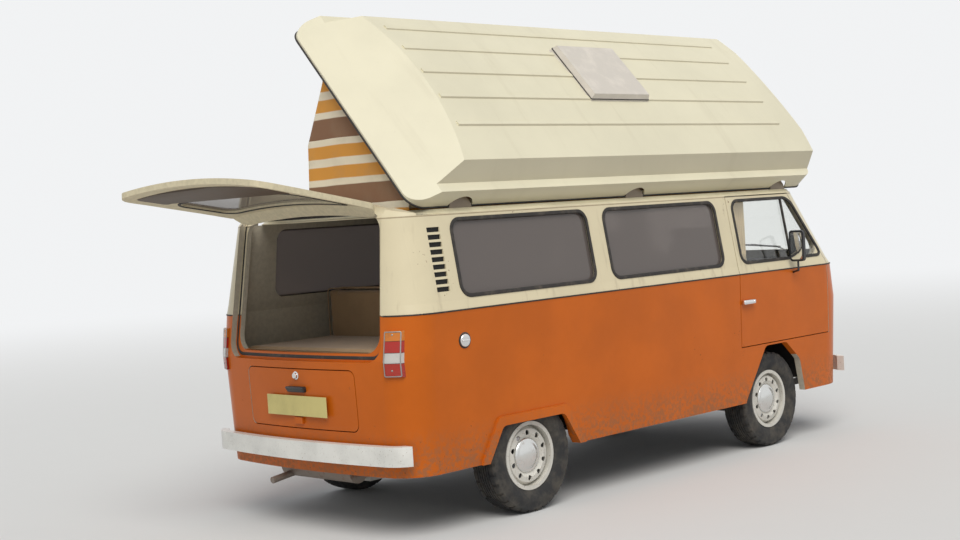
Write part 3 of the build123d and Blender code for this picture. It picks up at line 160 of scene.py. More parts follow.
class Nodes:
    """Adds nodes to one tree."""

    def __init__(self, tree: bpy.types.NodeTree, output: str) -> None:
        """Empties the tree and gives it an output node.

        Args:
            tree: the node tree.
            output: the kind of the tree's output.
        """
        self.tree = tree
        tree.nodes.clear()
        self.output = tree.nodes.new("ShaderNodeOutput" + output).inputs[0]

    def node(self, kind: str, settings: dict | None = None, inputs: dict | None = None, out: int | str = 0) -> Sock:
        """Adds any node.

        Args:
            kind: the node's type without its ShaderNode prefix.
            settings: properties, set before the inputs.
            inputs: values or sockets, by input name or number.
            out: the wanted output.

        Returns:
            The wanted output of the new node.
        """
        node = self.tree.nodes.new("ShaderNode" + kind)
        for key, value in (settings or {}).items():
            setattr(node, key, value)
        for key, value in (inputs or {}).items():
            self.plug(node.inputs[key], value)
        return Sock(self.tree, node.outputs[out])

    def plug(self, socket: bpy.types.NodeSocket, value: object) -> None:
        """Links a socket, or sets its value.

        Args:
            socket: the input that is fed.
            value: a socket, number, colour or vector.
        """
        if isinstance(value, Sock):
            self.tree.links.new(value.socket, socket)
        elif isinstance(value, (tuple, list, Vector)):
            socket.default_value = (*value, 1) if len(socket.default_value) == 4 else tuple(value)
        else:
            socket.default_value = value

    def seen(self) -> Sock:
        """1 on rays from the camera, off gloss and through glass."""
        rays = [self.node("LightPath", out=f"Is {ray} Ray") for ray in ("Camera", "Glossy", "Transmission")]
        return rays[0].op("MAXIMUM", rays[1]).op("MAXIMUM", rays[2])


class Shader(Nodes):
    """Builds the nodes of one material."""

    def __init__(self, name: str) -> None:
        """Makes an empty material.

        Args:
            name: the material's name.
        """
        self.material = bpy.data.materials.new(name)
        self.material.use_nodes = True
        super().__init__(self.material.node_tree, "Material")

    def principled(self, inputs: dict[str, object]) -> Sock:
        """A Principled shader; an underscore in an input's name stands for a space."""
        named = {key.replace("_", " ").title().replace("Ior", "IOR"): value for key, value in inputs.items()}
        return self.node("BsdfPrincipled", inputs=named)

    def surface(self, **inputs: object) -> None:
        """Shows a Principled shader all over."""
        self.first = self.principled(inputs)
        self.plug(self.output, self.first)

    def second_surface(self, share: Sock, **inputs: object) -> None:
        """Shows another Principled shader where the share is 1."""
        self.plug(self.output, self.node("MixShader", None, {0: share, 1: self.first, 2: self.principled(inputs)}))

    def place(self) -> Sock:
        """The point on the object, in its own coordinates."""
        return self.node("TexCoord", out="Object")

    def turned(self) -> Sock:
        """The way that the face points, in the object's own coordinates."""
        return self.node("TexCoord", out="Normal")

    def axis(self, name: str, point: Sock | None = None) -> Sock:
        """One coordinate of a point, X, Y or Z."""
        return self.node("SeparateXYZ", inputs={0: point or self.place()}, out=name)

    def grain(self, scale: float, detail: float = 3, rough: float = 0.55, stretch: Sequence[float] = (1, 1, 1)) -> Sock:
        """Noise about 0.5 on object coordinates.

        Args:
            scale: cells in a metre.
            detail: octaves.
            rough: share of the finer octaves.
            stretch: how much each axis is scaled first.

        Returns:
            The noise.
        """
        point = self.node("Mapping", inputs={"Vector": self.place(), "Scale": stretch})
        return self.node("TexNoise", inputs={"Vector": point, "Scale": scale, "Detail": detail, "Roughness": rough})

    def mix(self, share: Sock | Number, first: object, second: object) -> Sock:
        """Mixes two colours by how much of the second one shows."""
        settings = {"data_type": "RGBA", "clamp_factor": True}
        return self.node("Mix", settings, {0: share, 6: first, 7: second}, out=2)

    def bump(self, height: Sock, strength: float, distance: float, normal: Sock | None = None) -> Sock:
        """A Bump node.

        Args:
            height: the height that changes over the surface.
            strength: the bump's strength.
            distance: the height that a value of 1 stands for, in metres.
            normal: a bump underneath.

        Returns:
            The new normal.
        """
        inputs = {"Height": height, "Strength": strength, "Distance": distance}
        if normal is not None:
            inputs["Normal"] = normal
        return self.node("Bump", inputs=inputs)


# Finishes


class Finish:
    """A surface finish; its material is made once and kept by its label or its class's name."""

    made: dict[str, bpy.types.Material] = {}

    def build(self, s: Shader) -> None:
        """Dresses an empty shader."""
        raise NotImplementedError

    def material(self) -> bpy.types.Material:
        """The finish's material, built on first use.

        Returns:
            The material.
        """
        name = getattr(self, "label", type(self).__name__)
        if name not in Finish.made:
            shader = Shader(name)
            self.build(shader)
            Finish.made[name] = shader.material
        return Finish.made[name]


@dataclass(frozen=True)
class TwoTonePaint(Finish):
    """Old enamel, orange below the belt line and cream above, with cream trim inside."""

    orange: Colour = (0.51, 0.110, 0.006)
    cream: Colour = (0.71, 0.625, 0.43)
    lining: Colour = (0.55, 0.50, 0.40)
    rust: Colour = (0.16, 0.06, 0.025)
    # the road grime's colour, also used for the painted shadow under the rain gutter
    dirt: Colour = (0.20, 0.13, 0.075)
    # the colour of the painted shadow line under the cream belt ledge
    line: Colour = (0.02, 0.016, 0.014)
    gutter: float = GUTTER_LIP

    def height(self, s: Shader) -> Sock:
        """Each place's height above the ground with everything shut."""
        return s.axis("Z")

    def inside(self, s: Shader) -> Sock:
        """1 on faces that look into the van, 0 on those that look out.

        Args:
            s: the shader that is filled.

        Returns:
            The mask.
        """
        x, y, turned = s.axis("X") - MIDDLE, s.axis("Y"), s.turned()
        sideways = (s.axis("Y", turned) * y.op("SIGN")) < -0.35
        ends = (x.op("ABSOLUTE") > 1.45) * ((s.axis("X", turned) * x.op("SIGN")) < -0.35)
        return sideways.op("MAXIMUM", ends)

    def build(self, s: Shader) -> None:
        """Mixes the two paints, a painted shadow line at the belt, a painted shadow under the rain gutter, road grime,
        chips and faded patches.

        Args:
            s: the shader that is filled.
        """
        z = self.height(s)
        fade, fine = s.grain(2.2, 4, 0.6), s.grain(38, 5, 0.65)
        above = z > BELT
        orange = s.mix(fade.ramp(0.3, 0.75), self.orange, dim(self.orange, 1.16))
        cream = s.mix(fade.ramp(0.35, 0.8), self.cream, dim(self.cream, 0.9))
        paint = s.mix(above, orange, cream)
        # painted shadow: a near-black line along the belt, for the shade under the cream ledge's overhang
        paint = s.mix(((z - BELT).op("ABSOLUTE") < 0.0032) * 0.85, paint, self.line)
        # painted shadow: a dark band just under the rain gutter's lip, broken up by noise, for the shade that the
        # gutter casts
        gutter_shadow = ((z - self.gutter).op("ABSOLUTE") < 0.0035) * (0.5 + fine * 0.5)
        paint = s.mix(gutter_shadow * 0.8, paint, self.dirt)
        low = z.ramp(0.62, 0.36) * fine.ramp(0.38, 0.62)
        paint = s.mix(low * 0.55, paint, self.dirt)
        streak = s.grain(16, 3, 0.6, (1, 1, 0.07)).ramp(0.56, 0.72) * z.ramp(1.70, 1.55) * above
        paint = s.mix(streak * 0.22, paint, self.dirt)
        worn = (s.grain(3.4, 2, 0.5).ramp(0.60, 0.70) + z.ramp(0.60, 0.38) * 0.7).op("MINIMUM", 1.0)
        chips = (s.grain(60, 2, 0.5) > 0.70) * worn
        paint = s.mix(chips * 0.8, paint, self.rust)
        inside = self.inside(s)
        paint = s.mix(inside, paint, s.mix(fine.ramp(0.3, 0.7), self.lining, dim(self.lining, 0.85)))
        normal = s.bump(s.grain(240, 2, 0.5), 0.05, 0.0006, s.bump(s.grain(1.7, 2, 0.5), 0.35, 0.02))
        rough = 0.30 + low * 0.35 + chips * 0.4 + inside * 0.35 + (fade - 0.5) * 0.12
        s.surface(base_color=paint, roughness=rough, normal=normal, specular_ior_level=0.22)


@dataclass(frozen=True)
class TailgatePaint(TwoTonePaint):
    """The body's two paints on the tailgate, which stands open."""

    lining: Colour = (0.71, 0.625, 0.43)
    gutter: float = 9.0

    def height(self, s: Shader) -> Sock:
        """Each place's height above the ground once the tailgate is shut.

        Args:
            s: the shader that is filled.

        Returns:
            The height, in metres.
        """
        pin = at(GATE_PIN[0], 0, GATE_PIN[1])
        x, z = s.axis("X") - pin.x, s.axis("Z") - pin.z
        return x * math.sin(GATE_OPEN) + z * math.cos(GATE_OPEN) + pin.z

    def inside(self, s: Shader) -> Sock:
        """1 on all but the outer skin, which looks up while the tailgate is open."""
        return s.axis("Z", s.turned()) < 0.6


@dataclass(frozen=True)
class SpottedPaint(Finish):
    """One plain enamel with faded patches, chips and a little grime."""

    label: str = "Enamel"
    tone: Colour = (0.74, 0.67, 0.47)
    under: Colour = (0.16, 0.08, 0.04)
    wear: float = 0.3
    gloss: float = 0.32

    def build(self, s: Shader) -> None:
        """Mixes faded paint, grime in the hollows and chips down to the metal.

        Args:
            s: the shader that is filled.
        """
        fade, fine = s.grain(6, 4, 0.6), s.grain(70, 4, 0.6)
        paint = s.mix(fade.ramp(0.3, 0.75), self.tone, dim(self.tone, 0.84))
        grime = fine.ramp(0.55, 0.75) * fade.ramp(0.4, 0.7)
        paint = s.mix(grime * 0.5, paint, dim(self.tone, 0.55))
        chips = (s.grain(120, 2, 0.5) > 0.74 - 0.1 * self.wear) * self.wear
        paint = s.mix(chips, paint, self.under)
        rough = self.gloss + grime * 0.25 + chips * 0.4
        s.surface(base_color=paint, roughness=rough, normal=s.bump(fine, 0.12, 0.0006), specular_ior_level=0.4)


@dataclass(frozen=True)
class RoofLaminate(Finish):
    """Ivory gel coat over glass laminate, chalky on top and grimy in streaks, with painted shade on the faces that look
    down or to the right-hand side.
    """

    ivory: Colour = (0.76, 0.71, 0.53)
    # grime is also the colour of the painted shade on the downward and right-facing faces
    grime: Colour = (0.40, 0.34, 0.23)

    def build(self, s: Shader) -> None:
        """Mixes chalky ivory with run-off streaks, a soft print of the glass mat, and painted shade on the faces that
        look down or to the right.

        Args:
            s: the shader that is filled.
        """
        broad, fine, turned = s.grain(1.6, 4, 0.6), s.grain(26, 5, 0.65), s.turned()
        tone = s.mix(broad.ramp(0.3, 0.75), self.ivory, dim(self.ivory, 0.92))
        streak = s.grain(7, 4, 0.6, (1, 0.12, 0.12)).ramp(0.55, 0.75)
        tone = s.mix(streak * 0.16 + fine.ramp(0.6, 0.8) * 0.10, tone, self.grime)
        # painted shade: faces that look down or to the right-hand side are darkened towards the grime colour, for the
        # shade in the recess along the hinge side
        rim = s.axis("Z", turned).ramp(-0.2, -0.6) * 0.3 + s.axis("Y", turned).ramp(-0.85, -0.97) * 0.45
        tone = s.mix(rim, tone, self.grime)
        normal = s.bump(s.grain(300, 2, 0.5), 0.05, 0.0005, s.bump(s.grain(3.5, 2, 0.5), 0.22, 0.012))
        s.surface(base_color=tone, roughness=0.36 + fine * 0.16, normal=normal, specular_ior_level=0.35)


@dataclass(frozen=True)
class TintedGlass(Finish):
    """Window glass, from clear to smoked; a pane ahead of clear_from isn't smoked."""

    label: str = "ClearGlass"
    tint: Colour = (0.95, 0.96, 0.94)
    body: float = 1.0
    smear: float = 0.02
    clear_from: float = 9.0

    def build(self, s: Shader) -> None:
        """Lets dust blur the surface a little.

        Args:
            s: the shader that is filled.
        """
        dust = s.grain(9, 5, 0.7).ramp(0.5, 0.8) * 0.05
        s.surface(base_color=self.tint, roughness=self.smear + dust, transmission_weight=self.body, ior=1.45)
        if self.clear_from < 9:
            pane = TintedGlass()
            settings = {"base_color": pane.tint, "transmission_weight": pane.body, "ior": 1.45}
            s.second_surface(s.axis("X") > self.clear_from, roughness=pane.smear + dust, **settings)


@dataclass(frozen=True)
class Rubber(Finish):
    """Weathered black rubber."""

    label: str = "SealRubber"
    tone: Colour = (0.020, 0.017, 0.015)
    grime: Colour = (0.11, 0.09, 0.07)
    gloss: float = 0.55

    def build(self, s: Shader) -> None:
        """Dulls black rubber with pale bloom and fine cracks.

        Args:
            s: the shader that is filled.
        """
        broad, fine = s.grain(14, 4, 0.6), s.grain(160, 4, 0.6)
        tone = s.mix(broad.ramp(0.45, 0.8) * 0.7, self.tone, self.grime)
        s.surface(base_color=tone, roughness=self.gloss + broad * 0.25, normal=s.bump(fine, 0.25, 0.0008))


@dataclass(frozen=True)
class Metal(Finish):
    """Bare or plated metal with tarnish."""

    label: str = "Chrome"
    tone: Colour = (0.78, 0.78, 0.77)
    tarnish: Colour = (0.30, 0.24, 0.17)
    share: float = 0.15
    gloss: float = 0.12
    metallic: float = 1.0

    def build(self, s: Shader) -> None:
        """Mixes metal with dull tarnish in patches and pits.

        Args:
            s: the shader that is filled.
        """
        broad, fine = s.grain(22, 5, 0.65), s.grain(210, 3, 0.6)
        spots = (broad.ramp(0.55, 0.75) + (fine > 0.68) * 0.5).op("MINIMUM", 1.0) * self.share
        tone, rough = s.mix(spots, self.tone, self.tarnish), self.gloss + spots * 0.5
        metallic = self.metallic - spots * self.metallic
        s.surface(base_color=tone, roughness=rough, metallic=metallic, normal=s.bump(fine, 0.10, 0.0005))


@dataclass(frozen=True)
class Moulding(Finish):
    """Moulded plastic with a fine grain."""

    label: str = "BlackMoulding"
    tone: Colour = (0.025, 0.025, 0.027)
    gloss: float = 0.45
    grain_size: float = 420
    depth: float = 0.15
    clear: float = 0.0

    def build(self, s: Shader) -> None:
        """Adds grain, dust and slightly uneven gloss.

        Args:
            s: the shader that is filled.
        """
        broad, fine = s.grain(11, 4, 0.6), s.grain(self.grain_size, 2, 0.5)
        dusty = tuple(min(1.0, c * 1.25 + 0.014) for c in self.tone)
        tone = s.mix(broad.ramp(0.4, 0.8) * 0.6, self.tone, dusty)
        rough, normal = self.gloss + (broad - 0.5) * 0.2, s.bump(fine, self.depth, 0.0008)
        s.surface(base_color=tone, roughness=rough, normal=normal, transmission_weight=self.clear)


@dataclass(frozen=True)
class RibbedLens(Finish):
    """Lamp plastic with moulded ribs; its bands of colour are stacked by height."""

    label: str
    bands: tuple[tuple[float, Colour], ...]
    axis_name: str = "Z"
    clear: float = 0.25
    pitch: float = 260

    def build(self, s: Shader) -> None:
        """Stacks the colours with dark seams and adds the ribs as a bump.

        Args:
            s: the shader that is filled.
        """
        z = s.axis("Z")
        tone: object = self.bands[0][1]
        seams: Sock | float = 0.0
        for height, colour in self.bands[1:]:
            tone = s.mix(z > height, tone, colour)
            seams = ((z - height).op("ABSOLUTE") < 0.002) + seams
        tone = s.mix(s.grain(30, 3).ramp(0.5, 0.8) * 0.25, tone, (0.10, 0.06, 0.04))
        ribs = (s.axis(self.axis_name) * self.pitch * 2 * math.pi).op("SINE")
        if self.bands[1:]:
            tone = s.mix(seams * 0.7, tone, (0.03, 0.01, 0.01))
        s.surface(base_color=tone, roughness=0.18, normal=s.bump(ribs, 0.4, 0.0006), transmission_weight=self.clear)


@dataclass(frozen=True)
class TyreRubber(Finish):
    """Tyre rubber, dusty on the tread and rubbed on the wall."""

    def build(self, s: Shader) -> None:
        """Mixes black rubber with road dust.

        Args:
            s: the shader that is filled.
        """
        broad, fine = s.grain(12, 4, 0.6), s.grain(130, 4, 0.6)
        tone = s.mix(broad.ramp(0.35, 0.75) * 0.75, (0.022, 0.022, 0.023), (0.10, 0.088, 0.07))
        s.surface(base_color=tone, roughness=0.78 + fine * 0.15, normal=s.bump(fine, 0.3, 0.0012))


@dataclass(frozen=True)
class BoardLaminate(Finish):
    """Furniture board faced with wood-grain laminate."""

    pale: Colour = (0.46, 0.29, 0.15)
    dark: Colour = (0.30, 0.17, 0.08)

    def build(self, s: Shader) -> None:
        """Draws long grain with darker bands.

        Args:
            s: the shader that is filled.
        """
        grain, pores = s.grain(9, 6, 0.65, (0.25, 3.0, 3.0)), s.grain(90, 3, 0.6, (0.12, 4.0, 4.0))
        tone = s.mix(grain.ramp(0.35, 0.7), self.pale, self.dark)
        tone = s.mix(pores.ramp(0.6, 0.75) * 0.4, tone, dim(self.dark, 0.5))
        s.surface(base_color=tone, roughness=0.42 + pores * 0.12, normal=s.bump(pores, 0.12, 0.0005))


@dataclass(frozen=True)
class WovenCloth(Finish):
    """Plain woven cloth with a little colour variation."""

    label: str = "CurtainCloth"
    tone: Colour = (0.98, 0.82, 0.57)
    threads: float = 900

    def build(self, s: Shader) -> None:
        """Weaves two sets of threads as a bump and shades them.

        Args:
            s: the shader that is filled.
        """
        x, y, z = (s.axis(a) for a in "XYZ")
        weave = ((x + y) * self.threads).op("SINE") * (z * self.threads).op("SINE")
        broad, fine = s.grain(7, 4, 0.6), s.grain(260, 4, 0.7)
        tone = s.mix(broad.ramp(0.3, 0.75), self.tone, dim(self.tone, 0.86))
        tone = s.mix(fine.ramp(0.4, 0.7) * 0.3, tone, dim(self.tone, 0.65))
        normal = s.bump(weave, 0.25, 0.0006, s.bump(fine, 0.5, 0.0012))
        s.surface(base_color=tone, roughness=0.9, normal=normal, sheen_weight=0.3)


@dataclass(frozen=True)
class StripedCanvas(Finish):
    """Striped cotton canvas, brown, white and orange, printed in level bands."""

    brown: Colour = (0.26, 0.140, 0.078)
    white: Colour = (0.88, 0.80, 0.62)
    orange: Colour = (0.74, 0.34, 0.060)
    stripe: float = 0.0625
    phase: float = 1.5

    def build(self, s: Shader) -> None:
        """Repeats brown, white, orange, white, orange, white over the canvas's own height map.

        Args:
            s: the shader that is filled.
        """
        height = s.node("Attribute", {"attribute_name": "stripe_height"}, out="Fac")
        wobble = (s.grain(3.0, 2) - 0.5) * 0.012
        count = ((height + wobble) * (1 / self.stripe) + self.phase).op("MODULO", 6.0)
        tone: object = self.brown
        bands = ((1.8, self.white), (2.4, self.orange), (3.52, self.white), (4.27, self.orange), (5.4, self.white))
        for start, colour in bands:
            tone = s.mix(count.ramp(start - 0.05, start + 0.05), tone, colour)
        broad, fine = s.grain(4.5, 4, 0.6), s.grain(300, 3, 0.7)
        tone = s.mix(broad.ramp(0.45, 0.8) * 0.25, tone, (0.34, 0.27, 0.18))
        weave = (s.axis("Z") * 1500).op("SINE") * ((s.axis("Y") + s.axis("X")) * 1500).op("SINE")
        normal = s.bump(weave, 0.2, 0.0006, s.bump(fine, 0.25, 0.001))
        s.surface(base_color=tone, roughness=0.86, normal=normal)


# The finishes that several pieces share, and those that go with their slot in the record

ORANGE_AND_CREAM = TwoTonePaint()
CREAM = SpottedPaint()
DARK_METAL = Metal("AxleMetal", (0.10, 0.095, 0.09), (0.13, 0.07, 0.04), 0.6, 0.5, 0.6)
BUMPER_PAINT = SpottedPaint("BumperPaint", (0.78, 0.77, 0.72), (0.25, 0.16, 0.10), 0.5, 0.28)
WHEEL_PAINT = SpottedPaint("WheelPaint", (0.66, 0.64, 0.58), (0.20, 0.12, 0.07), 0.6, 0.34)
UNDERSEAL = SpottedPaint("Underseal", (0.035, 0.033, 0.03), (0.14, 0.08, 0.05), 0.5, 0.75)
SMOKED_GLASS = TintedGlass("SmokedGlass", (0.21, 0.178, 0.163), 0.45, 0.1, 1.6)
RED, MILK, DEEP_RED, AMBER = (0.52, 0.035, 0.02), (0.75, 0.72, 0.68), (0.55, 0.03, 0.02), (0.80, 0.25, 0.03)
TAIL_LENS = RibbedLens("TailLens", ((0.0, RED), (0.94, MILK), (0.995, DEEP_RED), (1.055, AMBER)))
RUBBER = (Rubber(), "tyre_rubber")
BLACK = (Moulding(), "black_plastic")
CHROME = (Metal(), "chrome")
BOARD = (BoardLaminate(), "furniture_board")


# The bench: modelling by operators


def deselect() -> None:
    """Leaves edit mode and selects nothing."""
    if bpy.context.object and bpy.context.object.mode != "OBJECT":
        bpy.ops.object.mode_set(mode="OBJECT")
    bpy.ops.object.select_all(action="DESELECT")


def focus(piece: bpy.types.Object) -> None:
    """Makes a piece the only selected and the active object.

    Args:
        piece: the piece.
    """
    deselect()
    piece.select_set(True)
    bpy.context.view_layer.objects.active = piece


class Shape:
    """One piece on the bench, from its primitive to its finish."""

    def __init__(self, piece: bpy.types.Object, name: str) -> None:
        """Names the object that has just been made."""
        self.piece = piece
        piece.name = piece.data.name = name

    @classmethod
    def start(cls, name: str, primitive: str, **sizes: object) -> "Shape":
        """Adds a mesh primitive.

        Args:
            name: the piece's name.
            primitive: plane, cube, circle or grid.
            sizes: the operator's own arguments.

        Returns:
            The new shape.
        """
        deselect()
        getattr(bpy.ops.mesh, f"primitive_{primitive}_add")(**sizes)
        return cls(bpy.context.object, name)

    @classmethod
    def block(cls, name: str, low: Sequence[float], high: Sequence[float], edge: float, segments: int = 2) -> "Shape":
        """A box between two corners with rounded edges.

        Args:
            name: the piece's name.
            low: its lowest corner.
            high: its highest corner.
            edge: the radius of its edges.
            segments: faces across each rounded edge.

        Returns:
            The new shape.
        """
        low, high = Vector(low), Vector(high)
        shape = cls.start(name, "cube", size=1, location=(low + high) / 2, scale=high - low)
        return shape.settle().modify("BEVEL", width=edge, segments=segments, limit_method="ANGLE")

    @classmethod
    def outline(cls, name: str, corners: Sequence[Vector]) -> "Shape":
        """A flat face with the given corners, in order.

        Args:
            name: the piece's name.
            corners: its corner points.

        Returns:
            The new shape, one face.
        """
        shape = cls.start(name, "circle", vertices=len(corners), radius=1, fill_type="NGON")
        places = [vertex.co.copy() for vertex in shape.piece.data.vertices]
        for place, corner in zip(places, corners):
            shape.pick("verts", lambda p, q=place: (p - q).length < 1e-6)
            bpy.ops.transform.translate(value=corner - place)
        return shape.done()

    @classmethod
    def upright(cls, name: str, x: float, corners: Flat) -> "Shape":
        """A flat face across the van, at a place along it, with the given (y, z) corners."""
        return cls.outline(name, [at(x, y, z) for y, z in corners])

    @classmethod
    def wire(cls, name: str, points: Sequence[Vector]) -> "Shape":
        """A chain of edges, drawn by extruding one vertex.

        Args:
            name: the piece's name.
            points: the chain's points.

        Returns:
            The new shape, edges only.
        """
        shape = cls.start(name, "plane", size=0.01, location=points[0])
        shape.settle().edit()
        bpy.ops.mesh.merge(type="CENTER")
        for before, after in zip(points, points[1:]):
            bpy.ops.mesh.extrude_vertices_move(TRANSFORM_OT_translate={"value": after - before})
        return shape.done()

    @classmethod
    def turned(cls, name: str, profile: Flat, centre: Vector, axis: Vector, steps: int = 48) -> "Shape":
        """A turned piece, as on a lathe.

        Args:
            name: the piece's name.
            profile: (along the axis, radius) points.
            centre: where the axis starts.
            axis: its direction.
            steps: faces round the axis.

        Returns:
            The new shape.
        """
        axis = axis.normalized()
        out = axis.orthogonal().normalized()
        shape = cls.wire(name, [centre + axis * along + out * radius for along, radius in profile]).edit()
        bpy.ops.mesh.spin(steps=steps, angle=2 * math.pi, center=centre, axis=axis)
        bpy.ops.mesh.select_all(action="SELECT")
        bpy.ops.mesh.remove_doubles(threshold=1e-5)
        bpy.ops.mesh.normals_make_consistent(inside=False)
        return shape.done().smooth(40)

    def edit(self, mode: str = "VERT") -> "Shape":
        """Opens the mesh for editing with all of it selected.

        Args:
            mode: the select mode's name.

        Returns:
            The shape.
        """
        focus(self.piece)
        bpy.ops.object.mode_set(mode="EDIT")
        bpy.ops.mesh.select_mode(type=mode)
        bpy.ops.mesh.select_all(action="SELECT")
        return self

    def done(self) -> "Shape":
        """Leaves edit mode."""
        bpy.ops.object.mode_set(mode="OBJECT")
        return self

    def settle(self) -> "Shape":
        """Applies the object's place, turn and scale to its mesh.

        Returns:
            The shape.
        """
        focus(self.piece)
        bpy.ops.object.transform_apply(location=True, rotation=True, scale=True)
        return self

    def pick(self, items: str, test: Pick) -> "Shape":
        """Selects parts of the mesh in edit mode.

        Args:
            items: verts or faces.
            test: what a part's middle must pass.

        Returns:
            The shape.
        """
        self.edit("VERT" if items == "verts" else "FACE")
        bpy.ops.mesh.select_all(action="DESELECT")
        mesh = bmesh.from_edit_mesh(self.piece.data)
        for item in getattr(mesh, items):
            item.select_set(test(item.co if items == "verts" else item.calc_center_median()))
        mesh.select_flush_mode()
        bmesh.update_edit_mesh(self.piece.data)
        return self

    def modify(self, kind: str, **settings: object) -> "Shape":
        """Adds a modifier and applies it.

        Args:
            kind: the modifier's type.
            settings: its properties.

        Returns:
            The shape.
        """
        focus(self.piece)
        modifier = self.piece.modifiers.new(kind.lower(), kind)
        for key, value in settings.items():
            setattr(modifier, key, value)
        bpy.ops.object.modifier_apply(modifier=modifier.name)
        return self

    def round_corners(self, radius: float, segments: int = 6) -> "Shape":
        """Rounds the corners of a flat outline.

        Args:
            radius: the corners' radius.
            segments: edges round each corner.

        Returns:
            The shape.
        """
        self.edit()
        bpy.ops.mesh.bevel(offset=radius, segments=segments, affect="VERTICES")
        return self.done()

    def ring(self, width: float) -> "Shape":
        """Turns a flat outline into a flat ring that lies inside it.

        Args:
            width: the ring's width.

        Returns:
            The shape.
        """
        self.edit("FACE")
        bpy.ops.mesh.inset(thickness=width)
        bpy.ops.mesh.delete(type="FACE")
        return self.done()

    def cut_long(self, length: float) -> "Shape":
        """Divides long edges, so that the piece can follow a curve.

        Args:
            length: what no edge is longer than afterwards.

        Returns:
            The shape.
        """
        mesh = bmesh.new()
        mesh.from_mesh(self.piece.data)
        while edges := [edge for edge in mesh.edges if edge.calc_length() > length]:
            bmesh.ops.subdivide_edges(mesh, edges=edges, cuts=1, use_grid_fill=True)
        mesh.to_mesh(self.piece.data)
        mesh.free()
        return self

    def plate(self, thickness: float, edge: float = 0.0, segments: int = 2) -> "Shape":
        """Makes a plate of a flat piece.

        Args:
            thickness: the plate's thickness, half of it on each side.
            edge: the radius of its edges, or 0 for sharp ones.
            segments: faces across each rounded edge.

        Returns:
            The shape.
        """
        self.outward().modify("SOLIDIFY", thickness=thickness, offset=0, use_even_offset=True)
        if not edge:
            return self
        corner = {"limit_method": "ANGLE", "angle_limit": math.radians(35)}
        return self.modify("BEVEL", width=edge, segments=segments, **corner).smooth(35)

    def smooth(self, angle: float) -> "Shape":
        """Shades faces smooth up to an angle.

        Args:
            angle: the angle, in degrees.

        Returns:
            The shape.
        """
        focus(self.piece)
        bpy.ops.object.shade_smooth_by_angle(angle=math.radians(angle))
        return self

    def outward(self) -> "Shape":
        """Merges doubles and turns all faces outwards.

        Returns:
            The shape.
        """
        self.edit()
        bpy.ops.mesh.remove_doubles(threshold=1e-6)
        bpy.ops.mesh.normals_make_consistent(inside=False)
        return self.done()

    def onto(self, node: str, axis: str, offset: float = 0.0, tilt: Matrix | None = None) -> "Shape":
        """Lays a skin on a CAD node along one axis.

        Args:
            node: the CAD node's name.
            axis: x, y or z.
            offset: how far it stays off the node.
            tilt: where the skin and its axes are turned to first.

        Returns:
            The shape.
        """
        self.piece.matrix_world = tilt or Matrix()
        bpy.context.view_layer.update()
        ways = {f"use_project_{axis}": True, "use_negative_direction": True, "use_positive_direction": True}
        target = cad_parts[node]
        return self.modify("SHRINKWRAP", wrap_method="PROJECT", target=target, offset=offset, **ways).settle()

    def turn(self, matrix: Matrix) -> "Shape":
        """Moves the mesh by a matrix; a mirrored one is turned outwards again.

        Args:
            matrix: where the mesh goes.

        Returns:
            The shape.
        """
        self.piece.data.transform(matrix)
        if matrix.determinant() < 0:
            self.piece.data.flip_normals()
        return self

    def copy(self, name: str, matrix: Matrix) -> "Shape":
        """Copies the piece with its own mesh.

        Args:
            name: the copy's name.
            matrix: where the copy goes.

        Returns:
            The copy.
        """
        twin = self.piece.copy()
        twin.data = self.piece.data.copy()
        bpy.context.scene.collection.objects.link(twin)
        return Shape(twin, name).turn(matrix)

    def join(self, others: Iterable["Shape"], name: str = "") -> "Shape":
        """Joins other shapes into this one.

        Args:
            others: the shapes that it takes in.
            name: its new name, if it changes.

        Returns:
            The shape.
        """
        focus(self.piece)
        for other in others:
            other.piece.select_set(True)
        bpy.ops.object.join()
        self.piece.name = name or self.piece.name
        return self

    def finish(self, finish: Finish, slot: str, body: str = "body_shell") -> bpy.types.Object:
        """Gives the piece its finish and the body that it rides on.

        Args:
            finish: the surface finish.
            slot: the record's material slot; not used.
            body: the CAD body.

        Returns:
            The finished object.
        """
        deselect()
        self.piece.data.materials.clear()
        self.piece.data.materials.append(finish.material())
        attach(self.piece, body)
        log.info("%s: %d faces on %s", self.piece.name, len(self.piece.data.polygons), body)
        return self.piece


def skin(node: str, start: Vector, direction: Vector) -> tuple[Vector, Vector]:
    """Finds where a ray first meets a CAD node.

    Args:
        node: the CAD node's name.
        start: where the ray starts.
        direction: where it points.

    Returns:
        The point that it meets, and the direction out of the surface there.
    """
    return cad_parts[node].ray_cast(start, direction)[1:3]


def section(nodes: Sequence[str], point: Vector, normal: Vector) -> list[Vector]:
    """Cuts CAD nodes by a plane and gives the convex outline of the cut.

    Args:
        nodes: the CAD nodes' names.
        point: a point of the plane.
        normal: the plane's normal.

    Returns:
        The outline's points, in order round it.
    """
    turn = normal.rotation_difference(UP)
    cut: set[tuple] = set()
    for node in nodes:
        piece = bpy.data.objects.new("cut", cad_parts[node].data.copy())
        bpy.context.scene.collection.objects.link(piece)
        shape = Shape(piece, "cut").edit()
        bpy.ops.mesh.remove_doubles(threshold=1e-5)
        bpy.ops.mesh.select_all(action="SELECT")
        bpy.ops.mesh.bisect(plane_co=point, plane_no=normal, clear_inner=True, clear_outer=True)
        shape.done()
        cut |= {tuple(round(c, 6) for c in turn @ v.co) for v in piece.data.vertices}
        bpy.data.objects.remove(piece)
    flat = sorted(cut)
    hull: list[tuple] = []
    for points in (flat, flat[::-1]):
        chain: list[tuple] = []
        for p in points:
            while len(chain) > 1:
                (ax, ay, _), (bx, by, _) = chain[-2:]
                if (bx - ax) * (p[1] - ay) - (by - ay) * (p[0] - ax) > 1e-9:
                    break
                chain.pop()
            chain.append(p)
        hull += chain[:-1]
    return [turn.inverted() @ Vector(p) for p in hull]


